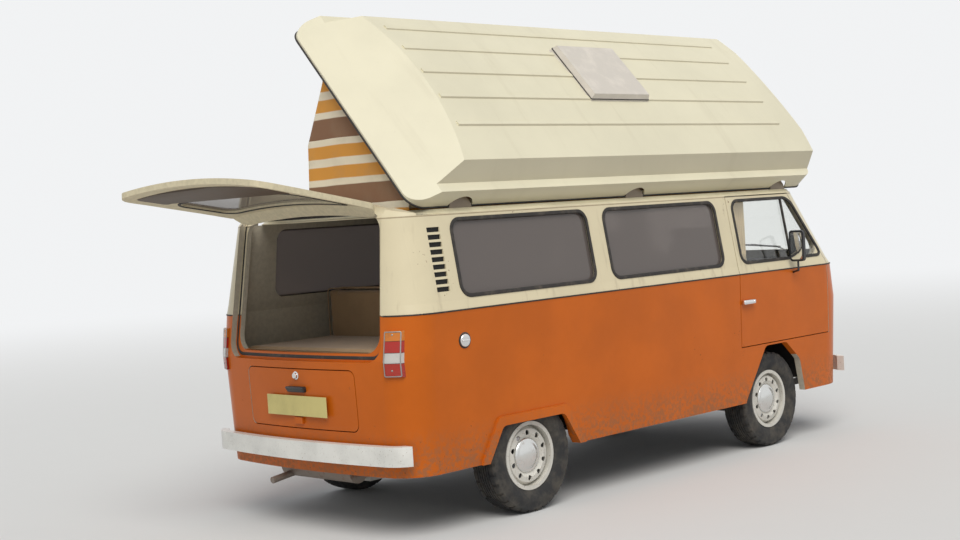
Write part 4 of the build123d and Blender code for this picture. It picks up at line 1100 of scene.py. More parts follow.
def between(line: list[Vector], low: float, high: float, side: int = 0) -> list[Vector]:
    """Takes the run of a closed line that lies between two places along the van.

    Args:
        line: the closed line's points, in order.
        low: the rearmost X.
        high: the foremost X.
        side: the sign of Y to keep, or 0 for both.

    Returns:
        The run's points, from one end to the other.
    """
    points: list[Vector | None] = []
    for a, b in zip(line, line[1:] + line[:1]):
        points.append(a if low <= a.x <= high and (not side or a.y * side > 0) else None)
        ends = [a.lerp(b, (edge - a.x) / (b.x - a.x)) for edge in (low, high) if (a.x - edge) * (b.x - edge) < 0]
        points += [end for end in sorted(ends, key=lambda e, s=a: (e - s).length) if not side or end.y * side > 0]
    start = points.index(None)
    return [point for point in points[start:] + points[:start] if point is not None]


def grown(corners: Flat, by: float) -> list[tuple[float, float]]:
    """Moves the edges of a flat outline outwards.

    Args:
        corners: the outline's corners, anticlockwise.
        by: how far each edge moves.

    Returns:
        The new corners.
    """
    points = [Vector(corner) for corner in corners]
    new = []
    for back, here, ahead in zip(points[-1:] + points, points, points[1:] + points):
        first, second = (here - back).normalized(), (ahead - here).normalized()
        out = Vector((first.y, -first.x)) + Vector((second.y, -second.x))
        new.append(tuple(here + out * by / (1 + first.dot(second))))
    return new


def rail(name: str, points: Sequence[Vector], radius: float, closed: bool = True, sides: int = 3) -> Shape:
    """A round rail along points.

    Args:
        name: the piece's name.
        points: the rail's path.
        radius: the rail's radius.
        closed: whether it runs back to its start.
        sides: the bevel's resolution.

    Returns:
        The new shape.
    """
    shape = Shape.wire(name, [*points, points[0]] if closed else points).edit()
    bpy.ops.mesh.remove_doubles(threshold=1e-5)
    shape.done()
    bpy.ops.object.convert(target="CURVE")
    curve = bpy.context.object.data
    curve.bevel_depth, curve.bevel_resolution, curve.use_fill_caps = radius, sides, not closed
    bpy.ops.object.convert(target="MESH")
    return Shape(bpy.context.object, name).outward().smooth(50)


# The body's own trim


@dataclass
class SideWindows:
    """The rubber seals of the windows in the two side walls and the cab doors."""

    sill: float = 1.254
    top: float = 1.664
    corner: float = 0.065
    middle: tuple[float, float] = (-0.436, 0.675)
    rear: tuple[float, float] = (-1.691, -0.592)
    cab: tuple[float, float, float] = (0.870, 1.816, 1.540)
    lap: float = 0.011
    width: float = 0.021
    thick: float = 0.011
    bar: tuple[float, float] = (1.4445, 1.4595)
    bar_depth: float = 0.006

    def outline(self, name: str, corners: Flat, side: Side, depth: float = 0.0) -> Shape:
        """A flat piece in the plane of a side wall.

        Args:
            name: the piece's name.
            corners: (x, z) corners, anticlockwise.
            side: which wall.
            depth: how far it stands inside the wall.

        Returns:
            The outline as one face.
        """
        return Shape.outline(f"{name}_{side.word}", [at(x, side.value * (wall_y(z) - depth), z) for x, z in corners])

    def seal(self, name: str, corners: Flat, side: Side, body: str) -> None:
        """One window's rubber seal.

        Args:
            name: the window's name.
            corners: the window's (x, z) corners.
            side: which wall.
            body: the body that the window rides on.
        """
        ring = self.outline(f"seal_{name}", grown(corners, self.lap), side)
        ring.round_corners(self.corner + self.lap, 8).ring(self.width)
        ring.plate(self.thick, 0.0035, 3).finish(*RUBBER, body)

    def build(self) -> None:
        """Builds all the seals and the bars of the quarter lights."""
        rear, front, top = self.cab
        heights = (self.sill, self.top)
        for side in Side:
            self.seal("middle", rectangle(*self.middle, *heights), side, "body_shell")
            self.seal("rear", rectangle(*self.rear, *heights), side, "body_shell")
            door = f"cab_door_{side.word}"
            self.seal("cab", [(rear, self.sill), (front, self.sill), (top, self.top), (rear, self.top)], side, door)
            bar = self.outline("quarter_light_bar", rectangle(*self.bar, *heights), side, self.bar_depth)
            bar.plate(0.014, 0.003).finish(*RUBBER, door)


@dataclass
class BodyTrim:
    """The belt strip, the rain gutter's bead, the louvres' black backs as painted shade, the handles and the filler's
    cap.
    """

    panels: tuple[str, ...] = (
        "side_panel_right", "side_panel_left", "sliding_door", "front_panel", "rear_panel",
        "cab_door_right", "cab_door_left",
    )
    strip: float = 0.0042
    seam: float = 0.003
    door: tuple[float, float] = (0.812, 1.870)
    sliding_rear: float = -0.522
    rear_seam: float = -1.990
    gate_half: float = 0.668
    gutter_bead: tuple[float, float] = (1.701, 0.0045)
    louvre_along: tuple[float, float] = (-1.868, -1.776)
    louvre_bottom: float = 1.2875
    louvre_pitch: float = 0.0395
    louvre_height: float = 0.026
    louvres: int = 9
    back_depth: float = 0.0155
    back_half: float = 0.0065
    grip_across: tuple[float, float] = (0.858, 0.8875)
    grip_heights: tuple[float, float] = (0.985, 1.015)
    filler_place: tuple[float, float] = (-1.709, 1.020)

    def belt(self) -> None:
        """Lays the dark strip between the two colours, one run for each panel."""
        line = section(self.panels, UP * BELT, UP)
        rear, front, seam, sliding = (MIDDLE + place for place in (*self.door, self.rear_seam, self.sliding_rear))
        runs = {
            "side_right": (seam, rear, -1, "body_shell"),
            "side_left": (seam, sliding, 1, "body_shell"),
            "sliding_door": (sliding, rear, 1, "body_shell"),
            "door_right": (rear, front, -1, "cab_door_right"),
            "door_left": (rear, front, 1, "cab_door_left"),
            "nose": (front, 9, 0, "body_shell"),
            "tail_left": (-9, seam, 1, "body_shell"),
            "tail_right": (-9, seam, -1, "body_shell"),
        }
        for name, (low, high, side, body) in runs.items():
            run = between(line, low + self.seam, high - self.seam, side)
            if name.startswith("tail"):
                run = [point for point in run if abs(point.y) > self.gate_half]
            rail(f"belt_strip_{name}", run, self.strip, False).finish(*RUBBER, body)

    def gutter(self) -> None:
        """Runs a round bead along the lip of the rain gutter."""
        height, radius = self.gutter_bead
        rail("gutter_bead", section(["roof_surround"], UP * height, UP), radius).finish(CREAM, "cream_paint")

    def backs(self) -> None:
        """Closes the louvres with near-black plates behind their slots, painted shade for the dark intake behind them.
        """
        rear, front = self.louvre_along[0] - 0.001, self.louvre_along[1] + 0.001
        # painted shade: the plates stand for the shade inside the air intake behind the louvres
        shade = Moulding("LouvreShade", (0.004, 0.004, 0.004), 0.8)
        for side in Side:
            plates = []
            for row in range(self.louvres):
                low = self.louvre_bottom + row * self.louvre_pitch - 0.002
                high = low + self.louvre_height + 0.004
                middle = side.value * (wall_y((low + high) / 2) - self.back_depth)
                corners = (at(rear, middle - self.back_half, low), at(front, middle + self.back_half, high))
                plates.append(Shape.block(f"louvre_{row}", *corners, 0.0008, 1))
            plates[0].join(plates[1:], f"louvre_backs_{side.word}").finish(shade, "black_plastic")

    def handle(self, name: str, rear: float, front: float, side: Side, body: str) -> None:
        """A pull handle with a push button at its front.

        Args:
            name: the piece's name.
            rear: the grip's rear end.
            front: its front end.
            side: the van's side.
            body: the body it rides on.
        """
        s, (near, far), (foot, top) = side.value, self.grip_across, self.grip_heights
        ends = [at(rear - 0.004, s * near, foot), at(front + 0.004, s * far, top)]
        low, high = (Vector(map(choice, *ends)) for choice in (min, max))
        grip = Shape.block(name, low, high, 0.009, 4)
        grip.pick("verts", lambda p: abs(p.x - (low.x + high.x) / 2) < 0.03 and abs(p.y) > 0.87)
        bpy.ops.transform.translate(value=(0, -s * 0.002, 0))
        grip.done().smooth(40)
        profile = [(-0.012, 0.0), (-0.012, 0.0085), (0.003, 0.0085), (0.0045, 0.0065), (0.0045, 0.0)]
        button = Shape.turned(f"{name}_button", profile, at(front - 0.014, s * 0.886, 1.0), ACROSS * s, 32)
        grip.join([button]).finish(*CHROME, body)

    def filler(self) -> None:
        """Sets the fuel filler's cap, with its grip, on a black rubber ring that paints the shadow gap round the cap.
        """
        x, z = self.filler_place
        place, normal = skin("side_panel_right", at(x, -1.2, z), ACROSS)
        profile = [(-0.004, 0.0), (-0.004, 0.043), (0.003, 0.043), (0.005, 0.040), (0.005, 0.0)]
        # painted shadow: the black ring that shows round the cap stands for the shadow gap between the cap and the body
        Shape.turned("filler_ring", profile, place, normal).finish(*RUBBER)
        profile = [(0.002, 0.0), (0.002, 0.0355), (0.0075, 0.035), (0.0100, 0.0325), (0.0108, 0.020), (0.0108, 0.0)]
        cap = Shape.turned("filler_lid", profile, place, normal)
        grip = Shape.block("grip", (-0.028, -0.0065, 0.009), (0.028, 0.0065, 0.0150), 0.0025, 3).smooth(40)
        grip.turn(Matrix.Translation(place) @ normal.to_track_quat("Z", "Y").to_matrix().to_4x4())
        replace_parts(cap.join([grip]).finish(*CHROME), "filler_cap")

    def build(self) -> None:
        """Builds all of the trim."""
        self.belt()
        self.gutter()
        self.backs()
        self.filler()
        for side in Side:
            self.handle(f"door_handle_{side.word}", 0.820, 0.940, side, f"cab_door_{side.word}")
        self.handle("sliding_door_handle", 0.690, 0.800, Side.LEFT, "body_shell")


@dataclass
class Mirrors:
    """The glasses of the two door mirrors."""

    face: float = 1.3872
    across: tuple[float, float] = (0.878, 0.974)
    heights: tuple[float, float] = (1.239, 1.431)
    silver: Finish = Metal("MirrorSilver", (0.86, 0.87, 0.88), (0.5, 0.5, 0.5), 0.1, 0.03)

    def build(self) -> None:
        """Builds one glass for each mirror, framed by a lip."""
        for side in Side:
            corners = [at(self.face, side.value * y, z) for y, z in rectangle(*self.across, *self.heights)]
            lip = Shape.outline(f"mirror_lip_{side.word}", corners).round_corners(0.018).ring(0.005)
            lip.plate(0.005, 0.001).finish(*BLACK, f"cab_door_{side.word}")
            glass = Shape.outline(f"mirror_glass_{side.word}", corners).round_corners(0.018)
            glass.plate(0.002, 0.0005).finish(self.silver, "chrome", f"cab_door_{side.word}")


# The nose and the tail


@dataclass
class Nose:
    """The headlamps' rims and lenses, the signals' and the grille's bezels, and the wipers."""

    lamp: tuple[float, float, float] = (2.1533, 0.560, 0.812)
    signal_across: tuple[float, float] = (0.452, 0.596)
    signal_heights: tuple[float, float] = (1.082, 1.142)
    grille_half: float = 0.404
    grille_heights: tuple[float, float] = (1.078, 1.146)
    wiper_pivots: tuple[tuple[str, float], ...] = (("right", -0.36), ("left", 0.20))
    wiper_base: float = 1.262
    ahead: float = 2.4

    def lamps(self) -> None:
        """Turns the chrome rims and the domed glasses."""
        x, y, z = self.lamp
        rim = [
            (-0.012, 0.0945), (0.002, 0.0975), (0.009, 0.0955), (0.0125, 0.0905), (0.012, 0.0845), (0.007, 0.0805),
            (-0.004, 0.0800), (-0.012, 0.0800), (-0.012, 0.0945),
        ]
        glass = [
            (-0.003, 0.0), (-0.003, 0.0802), (0.004, 0.0802), (0.0105, 0.068), (0.0155, 0.050), (0.0185, 0.028),
            (0.0195, 0.010), (0.0197, 0.0),
        ]
        lens = RibbedLens("HeadlampGlass", ((0.0, (0.62, 0.64, 0.65)),), "Y", 1.0)
        for side in Side:
            centre = at(x, side.value * y, z)
            Shape.turned(f"headlamp_rim_{side.word}", rim, centre, ALONG, 72).finish(*CHROME)
            Shape.turned(f"headlamp_glass_{side.word}", glass, centre, ALONG, 72).finish(lens, "lamp_glass")

    def bezel(self, name: str, corners: Flat, wide: float) -> None:
        """Lays a moulded frame on the nose round what is let into it.

        Args:
            name: the piece's name.
            corners: the (y, z) corners that it frames.
            wide: the frame's width.
        """
        ring = Shape.upright(name, self.ahead, grown(corners, wide))
        ring.round_corners(wide * 0.9, 5).ring(wide - 0.0015)
        ring.cut_long(0.04).onto("front_panel", "x", 0.0005).plate(0.006, 0.0015).finish(*BLACK)

    def wiper(self, name: str, pivot: float) -> None:
        """Parks a wiper along the foot of the windscreen.

        Args:
            name: its side of the van.
            pivot: its pivot's place across the van.
        """
        base, tip = at(2.150, pivot, self.wiper_base), pivot + 0.40
        spindle = [(-0.02, 0.0), (-0.02, 0.011), (0.012, 0.011), (0.020, 0.008), (0.022, 0.0)]
        boss = Shape.turned(f"wiper_{name}", spindle, base, Vector((0.86, 0, 0.5)), 24)
        elbow = at(2.152, pivot + 0.10, self.wiper_base + 0.042)
        end = at(2.118, tip - 0.10, self.wiper_base + 0.067)
        arm = rail("arm", [base + Vector((0.010, 0, 0.006)), elbow, end], 0.0042, False)
        edge = ((pivot + 0.02, 0.040), (tip + 0.02, 0.067), (tip + 0.02, 0.075), (pivot + 0.02, 0.048))
        blade = Shape.upright("blade", self.ahead, [(y, self.wiper_base + rise) for y, rise in edge])
        blade.cut_long(0.03).onto("fixed_windows", "x", 0.012).plate(0.010, 0.002)
        boss.join([arm, blade]).finish(*BLACK)

    def build(self) -> None:
        """Builds all of the nose's pieces."""
        self.lamps()
        for side in Side:
            ends = sorted(side.value * y for y in self.signal_across)
            self.bezel(f"signal_bezel_{side.word}", rectangle(*ends, *self.signal_heights), 0.007)
        grille = rectangle(-self.grille_half, self.grille_half, *self.grille_heights)
        self.bezel("grille_bezel", grille, 0.008)
        for name, pivot in self.wiper_pivots:
            self.wiper(name, pivot)


@dataclass
class Tail:
    """The lamps' bezels, the tailgate's seals and lining, the lid's button and the plate."""

    lamp_across: tuple[float, float] = (0.694, 0.786)
    lamp_heights: tuple[float, float] = (0.868, 1.108)
    gate: tuple[float, float, float, float] = (0.942, 1.762, 0.668, 0.622)
    gate_corner: float = 0.095
    window: tuple[float, float, float, float] = (1.262, 1.622, 0.540, 0.518)
    window_corner: float = 0.070
    lining: tuple[float, float, float, float] = (1.02, 1.215, 0.575, 0.562)
    plate: tuple[float, float, float] = (0.260, 0.640, 0.752)
    behind: float = -2.6

    @property
    def swing(self) -> Matrix:
        """The turn from the shut tailgate to the open one."""
        pin = at(GATE_PIN[0], 0, GATE_PIN[1])
        return Matrix.Translation(pin) @ Matrix.Rotation(GATE_OPEN, 4, "Y") @ Matrix.Translation(-pin)

    @staticmethod
    def keystone(low: float, high: float, foot: float, head: float) -> list[tuple[float, float]]:
        """The (y, z) corners of an outline whose half width changes from its foot to its head."""
        return [(-foot, low), (foot, low), (head, high), (-head, high)]

    def lamps(self) -> None:
        """Frames the tail lamps and screws their lenses on."""
        (near, far), (low, high) = self.lamp_across, self.lamp_heights
        zinc = Metal("DullZinc", (0.36, 0.35, 0.33), (0.16, 0.12, 0.09), 0.5, 0.45)
        profile = [(-0.004, 0.0), (-0.004, 0.005), (0.0012, 0.005), (0.0022, 0.0035), (0.0024, 0.0)]
        for side in Side:
            s = side.value
            corners = grown(rectangle(near, far, low, high), -0.002)
            ring = Shape.upright(f"tail_lamp_bezel_{side.word}", self.behind, [(s * y, z) for y, z in corners])
            ring.round_corners(0.008, 4).ring(0.0055).cut_long(0.03)
            ring.onto("signal_lamps", "x").plate(0.006, 0.0012)
            starts = [at(self.behind, s * (near + far) / 2, z) for z in (low + 0.035, high - 0.020)]
            feet = [skin("signal_lamps", start, ALONG) for start in starts]
            ring.join([Shape.turned("screw", profile, *foot, 16) for foot in feet]).finish(zinc, "chrome")

    def gate_seal(self) -> None:
        """Lays the soft weather seal on the frame that the tailgate shuts against."""
        corners = grown(self.keystone(*self.gate), -0.012)
        ring = Shape.upright("tailgate_weather_seal", -2.5, corners)
        ring.round_corners(self.gate_corner - 0.012, 10).ring(0.018).cut_long(0.03)
        ring.pick("verts", lambda p: p.z > GATE_PIN[1] - 0.048)
        bpy.ops.mesh.delete(type="VERT")
        ring.done().onto("rear_panel", "x").plate(0.004, 0.0015, 3).finish(*RUBBER)

    def header_seal(self) -> None:
        """Closes the slot between the header over the tailgate and the roof's surround."""
        half, foot, crown, fall = 0.55, 1.716, 1.768, 0.149
        across = [0.05 * step for step in range(11, -12, -1)]
        edge = [(-half, foot), (half, foot)] + [(y, crown - fall * y * y) for y in across]
        Shape.upright("header_seal", -1.915, edge).plate(0.003).finish(*RUBBER)

    def gate_pieces(self) -> None:
        """Dresses the open tailgate: its window's seal on both sides, and its lining."""
        for name, grow, gap, start in (("outer", 0.017, 0.015, -2.3), ("inner", 0.019, 0.017, -1.6)):
            corners = grown(self.keystone(*self.window), grow)
            ring = Shape.upright(f"tailgate_glass_seal_{name}", start, corners)
            ring.round_corners(self.window_corner + grow - 0.006, 10).ring(gap).cut_long(0.04)
            ring.onto("tailgate", "x", 0.0, self.swing).plate(0.008, 0.0025, 3).finish(*RUBBER, "tailgate")
        board = Moulding("LiningBoard", (0.10, 0.07, 0.045), 0.6)
        lining = Shape.upright("tailgate_lining", -1.6, self.keystone(*self.lining))
        lining.round_corners(0.03).cut_long(0.05).onto("tailgate", "x", 0.001, self.swing)
        lining.plate(0.004, 0.001).finish(board, "furniture_board", "tailgate")

    def lid_pieces(self) -> None:
        """Fits the engine lid's push button, and the blank plate with its lamp above it."""
        half, low, high = self.plate
        pale = SpottedPaint("PlatePale", (0.62, 0.53, 0.20), (0.30, 0.24, 0.12), 0.3, 0.4)
        plate = Shape.block("rear_plate", at(-2.1975, -half, low), at(-2.1935, half, high), 0.0012)
        plate.finish(pale, "bumper_paint", "engine_lid")
        profile = [
            (-0.02, 0.0), (-0.02, 0.023), (0.004, 0.023), (0.006, 0.020), (0.006, 0.017), (0.015, 0.017),
            (0.018, 0.014), (0.018, 0.0),
        ]
        button = Shape.turned("lid_button", profile, *skin("engine_lid", at(self.behind, 0.0, 0.862), ALONG), 40)
        button.finish(*CHROME, "engine_lid")
        hood = Shape.block("plate_lamp", at(-2.214, -0.075, 0.770), at(-2.172, 0.075, 0.802), 0.008, 3)
        hood.pick("verts", lambda p: p.z < 0.785 and p.x < MIDDLE - 2.19)
        bpy.ops.transform.translate(value=(0.012, 0, 0))
        hood.done().smooth(35).finish(*BLACK, "engine_lid")

    def build(self) -> None:
        """Builds all of the tail's pieces."""
        self.lamps()
        self.gate_seal()
        self.header_seal()
        self.gate_pieces()
        self.lid_pieces()


# The raised roof


@dataclass
class RaisedRoof:
    """The rubber rim and the roof light's seal on the shell, and the striped canvas under it."""

    hinge: tuple[float, float] = (-0.700, 1.731)
    open_angle: float = math.radians(49)
    vent_lid: float = 0.034
    canvas_along: tuple[float, float] = (-1.848, 1.648)
    foot: tuple[float, float] = (-0.636, 0.236)
    shoulder: tuple[float, float] = (0.212, 2.133)
    reach: float = 1.077
    canvas_foot: float = 1.727
    corner: float = 0.035
    rows: int = 44
    columns: tuple[int, int] = (26, 90)
    sag: float = 0.012
    thickness: float = 0.0015

    @property
    def tilt(self) -> Matrix:
        """The turn from the shut roof to the raised one."""
        pin = Vector((0, *self.hinge))
        return Matrix.Translation(pin) @ Matrix.Rotation(self.open_angle, 4, "X") @ Matrix.Translation(-pin)

    @property
    def head(self) -> tuple[float, float]:
        """The (y, z) place of the canvas's upper edge on the raised shell."""
        y, z = self.hinge
        return y + self.reach * math.cos(self.open_angle), z + self.reach * math.sin(self.open_angle)

    def seals(self) -> None:
        """Runs rubber seals along the shell's rim and round the roof light, under its lid."""
        tilt, normal = self.tilt, self.tilt.to_3x3() @ UP
        lifts = [(tilt.inverted() @ vertex.co).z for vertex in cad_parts["roof_vent"].data.vertices]
        rim = Vector((0, *self.hinge)) + normal * 0.006
        vent = tilt @ Vector((0, 0, max(lifts) - self.vent_lid))
        for name, node, point, radius in (
            ("roof_rim_seal", "roof_shell", rim, 0.0065),
            ("roof_light_seal", "roof_vent", vent, 0.0035),
        ):
            rail(name, section([node], point, normal), radius).finish(*RUBBER, "raised_roof")

    def path(self, height: float) -> list[tuple[float, float]]:
        """The canvas's line in plan at a height.

        Args:
            height: the height above the ground.

        Returns:
            (x, y) points from the right-hand rear corner round to the right-hand front one.
        """
        rear, front = self.canvas_along
        right = max(self.foot[0], self.hinge[0] + (height - self.hinge[1] + 0.012) / math.tan(self.open_angle))
        below, above = (self.foot[1], self.canvas_foot), self.shoulder
        if height >= self.shoulder[1]:
            below, above = self.shoulder, self.head
        left = below[0] + (height - below[1]) / (above[1] - below[1]) * (above[0] - below[0])
        ends, wall = self.columns
        turn = min(self.corner, (left - right) * 0.45)
        arc = [math.radians(90 * k / 6) for k in range(7)]
        points = [(rear, right + (left - turn - right) * k / ends) for k in range(ends)]
        points += [(rear + turn - turn * math.cos(a), left - turn + turn * math.sin(a)) for a in arc]
        points += [(rear + turn + (front - rear - 2 * turn) * k / wall, left) for k in range(1, wall)]
        points += [(front - turn + turn * math.sin(a), left - turn + turn * math.cos(a)) for a in arc]
        points += [(front, left - turn + (right - left + turn) * k / ends) for k in range(1, ends + 1)]
        return points

    def canvas(self) -> None:
        """Hangs the striped canvas as one sheet round three sides."""
        rise = self.head[1] - 0.008 - self.canvas_foot
        heights = [self.canvas_foot + rise * k / self.rows for k in range(self.rows + 1)]
        rows = [self.path(height) for height in heights]
        across = len(rows[0]) - 1
        sheet = Shape.start("striped_canvas", "grid", x_subdivisions=across, y_subdivisions=self.rows, size=2)
        mesh = sheet.piece.data
        stripe = mesh.attributes.new("stripe_height", "FLOAT", "POINT")
        for vertex in mesh.vertices:
            row = round((vertex.co.y + 1) / 2 * self.rows)
            x, y = rows[row][round((vertex.co.x + 1) / 2 * across)]
            z = heights[row]
            wave = noise.noise(Vector((x * 2.1, y * 2.1, z * 1.3))) + 0.5 * noise.noise(Vector((x * 6, y * 6, z * 3)))
            sag = self.sag * math.sin(math.pi * row / self.rows) * (0.6 + wave)
            if min(abs(x - end) for end in self.canvas_along) < 0.01:
                x += sag if x < 0 else -sag
            else:
                y -= sag
            stripe.data[vertex.index].value = z + 0.004 * wave
            vertex.co = at(x, y, z)
        sheet.modify("SOLIDIFY", thickness=self.thickness, offset=0).smooth(60)
        piece = sheet.finish(StripedCanvas(), "striped_canvas")
        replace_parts(piece, "roof_fabric")
        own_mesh(piece)

    def build(self) -> None:
        """Builds all of it."""
        self.seals()
        self.canvas()


# The wheels


@dataclass
class Wheel:
    """One road wheel: its treaded tyre, hubcap, valve and balance weight, modelled once and copied."""

    radius: float = 0.318
    half: float = 0.092
    tread_half: float = 0.075
    bead: float = 0.1935
    bead_half: float = 0.061
    pitches: int = 96
    places: tuple[tuple[str, float, float], ...] = (
        ("front_left", 1.2, 0.6975), ("front_right", 1.2, -0.6975),
        ("rear_left", -1.2, 0.7275), ("rear_right", -1.2, -0.7275),
    )

    def tyre(self) -> Shape:
        """Turns the tyre about the origin, then cuts its sipes and shoulder notches.

        Returns:
            The tyre.
        """
        groove, rib = 0.0035, 0.0175
        side = [
            (self.bead_half - 0.002, self.bead - 0.004), (self.bead_half + 0.004, self.bead),
            (self.bead_half + 0.010, self.bead + 0.008), (0.079, 0.212), (0.0885, 0.232), (self.half - 0.0005, 0.250),
            (self.half, 0.258), (0.0905, 0.268), (0.0885, 0.283), (0.0862, 0.294), (0.0868, 0.2965),
            (0.0848, 0.301), (0.0812, 0.3085), (self.tread_half, 0.3138),
        ]
        for edge in (2.55 * rib, 1.5 * rib, 0.5 * rib):
            top = self.radius - 0.0042 * (edge / self.tread_half) ** 2
            slope, floor = groove * 0.7, top - 0.0075
            side += [(edge + groove, top), (edge + slope, floor), (edge - slope, floor), (edge - groove, top)]
        profile = side + [(-x, r) for x, r in reversed(side)]
        shape = Shape.turned("tyre", profile + [profile[0]], Vector(), ACROSS, self.pitches)
        step = 2 * math.pi / self.pitches

        def notched(p: Vector, low: float, high: float, every: int, shift: int) -> bool:
            """Says whether a face's middle lies in a band of the tread and in a notch's place."""
            turn = int(round((math.atan2(p.z, p.x) + math.pi) / step - 0.5)) + (shift if p.y > 0 else 0)
            return low < abs(p.y) < high and math.hypot(p.x, p.z) > 0.300 and turn % every == 0

        for *band, depth in (
            (0.052, 0.088, 3, 1, 0.0052),
            (0.031, 0.041, 4, 2, 0.0035),
            (0.012, 0.022, 4, 1, 0.0035),
        ):
            shape.pick("faces", lambda p, band=band: notched(p, *band))
            bpy.ops.mesh.inset(thickness=0.0016)
            bpy.ops.mesh.extrude_region_shrink_fatten(TRANSFORM_OT_shrink_fatten={"value": -depth})
            shape.done()
        return shape.outward().smooth(32)

    def hubcap(self) -> Shape:
        """Turns the domed cap that closes the hub, about the origin, outwards along Y.

        Returns:
            The hubcap.
        """
        profile = [
            (0.042, 0.0), (0.0425, 0.094), (0.0445, 0.0978), (0.0475, 0.0982), (0.0505, 0.0950), (0.0545, 0.0900),
            (0.0560, 0.0840), (0.0560, 0.0780), (0.0575, 0.0740), (0.0635, 0.0640), (0.0685, 0.0480),
            (0.0715, 0.0300), (0.0728, 0.0120), (0.0730, 0.0),
        ]
        return Shape.turned("hubcap", profile, Vector(), ACROSS, 64)

    def valve(self) -> Shape:
        """Turns a rubber valve that stands out of the rim.

        Returns:
            The valve.
        """
        profile = [
            (0.0, 0.0), (0.0, 0.0085), (0.006, 0.0075), (0.016, 0.0048), (0.034, 0.0042), (0.0345, 0.0034),
            (0.042, 0.0034), (0.0425, 0.0),
        ]
        return Shape.turned("valve", profile, Vector((0.0, 0.012, 0.158)), Vector((0, 1, 0.25)), 20)

    def balance(self) -> Shape:
        """Makes the lead weight that is clipped on the rim's edge."""
        return Shape.block("balance_weight", (-0.019, 0.0585, -0.1865), (0.019, 0.0645, -0.1775), 0.0025)

    def build(self) -> None:
        """Models the four pieces once and copies them to each wheel."""
        chrome = Metal("HubcapChrome", (0.72, 0.72, 0.70), (0.32, 0.27, 0.22), 0.5, 0.22)
        models = {
            "tyre": (self.tyre(), TyreRubber(), "tyre_rubber"),
            "hubcap": (self.hubcap(), chrome, "chrome"),
            "valve": (self.valve(), *RUBBER),
            "balance_weight": (self.balance(), DARK_METAL, "axle_metal"),
        }
        for wheel, x, y in self.places:
            turn = Matrix.Rotation(math.pi if y < 0 else 0, 4, "Z")
            spin = Matrix.Rotation(math.radians(37 * len(wheel)), 4, "Y")
            place = Matrix.Translation(at(x, y, self.radius)) @ turn @ spin
            for name, (model, finish, slot) in models.items():
                piece = model.copy(f"{name}_{wheel}", place).finish(finish, slot, f"wheel_{wheel}")
                if name == "tyre":
                    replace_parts(piece, f"tyre_{wheel}")
        for model, _, _ in models.values():
            bpy.data.objects.remove(model.piece)


# Soft seats, curtains and the furniture's fittings


@dataclass(frozen=True)
class Cushion:
    """One foam cushion: its box in metres from the wheelbase's middle, and how it is sewn."""

    name: str
    low: tuple[float, float, float]
    high: tuple[float, float, float]
    finish: Finish
    voxel: float = 0.006
    swell: float = 0.014
    corner: float = 0.035
    inset: float = 0.0055
    cord: float = 0.0035

    def build(self) -> Shape:
        """Inflates the cushion from its box.

        Returns:
            The shape, not yet dressed.
        """
        low, high = at(*self.low), at(*self.high)
        inner = Vector((self.swell * 0.55,) * 3)
        shape = Shape.block(self.name, low + inner, high - inner, 0.022, 3)
        shape.modify("REMESH", mode="VOXEL", voxel_size=self.voxel)
        self.inflate(shape)
        for vertex in shape.piece.data.vertices:
            vertex.co = [min(max(c, a + 0.0005), b - 0.0005) for c, a, b in zip(vertex.co, low, high)]
        return shape.modify("SUBSURF", levels=1, render_levels=1).smooth(180)

    def inflate(self, shape: Shape) -> None:
        """Runs the cloth under a little pressure and keeps each point near its start.

        Args:
            shape: the remeshed cushion.
        """
        scene, piece = bpy.context.scene, shape.piece
        focus(piece)
        cloth = piece.modifiers.new("cloth", "CLOTH")
        settings = cloth.settings
        settings.effector_weights.gravity = 0
        settings.use_pressure = True
        settings.uniform_pressure_force = settings.quality = 4
        settings.tension_stiffness = settings.compression_stiffness = 20
        for step in range(1, 15):
            scene.frame_set(step)
        swollen = piece.evaluated_get(bpy.context.evaluated_depsgraph_get()).data
        places = [vertex.co.copy() for vertex in swollen.vertices]
        piece.modifiers.remove(cloth)
        scene.frame_set(1)
        for vertex, end in zip(piece.data.vertices, places):
            move = end - vertex.co
            vertex.co += move * min(1, self.swell / max(move.length, 1e-9))

    def piping(self) -> Shape:
        """Sews a piped seam round the cushion's two broad faces.

        Returns:
            The seam's cords, joined.
        """
        low, high = at(*self.low), at(*self.high)
        size, middle = high - low, (low + high) / 2
        first, second, thin = sorted(range(3), key=lambda k: (k == min(range(3), key=lambda j: size[j]), k))
        cords = []
        for end, place in (("a", low[thin] + 0.013), ("b", high[thin] - 0.013)):
            points = []
            for cx, cy, start in ((1, 1, 0), (-1, 1, 90), (-1, -1, 180), (1, -1, 270)):
                for k in range(5):
                    angle, arm = math.radians(start + 22.5 * k), self.corner - self.inset
                    point = Vector()
                    point[thin] = place
                    point[first] = middle[first] + cx * (size[first] / 2 - self.corner) + arm * math.cos(angle)
                    point[second] = middle[second] + cy * (size[second] / 2 - self.corner) + arm * math.sin(angle)
                    points.append(point)
            cords.append(rail(f"{self.name}_piping_{end}", points, self.cord, True, 2))
        return cords[0].join(cords[1:])


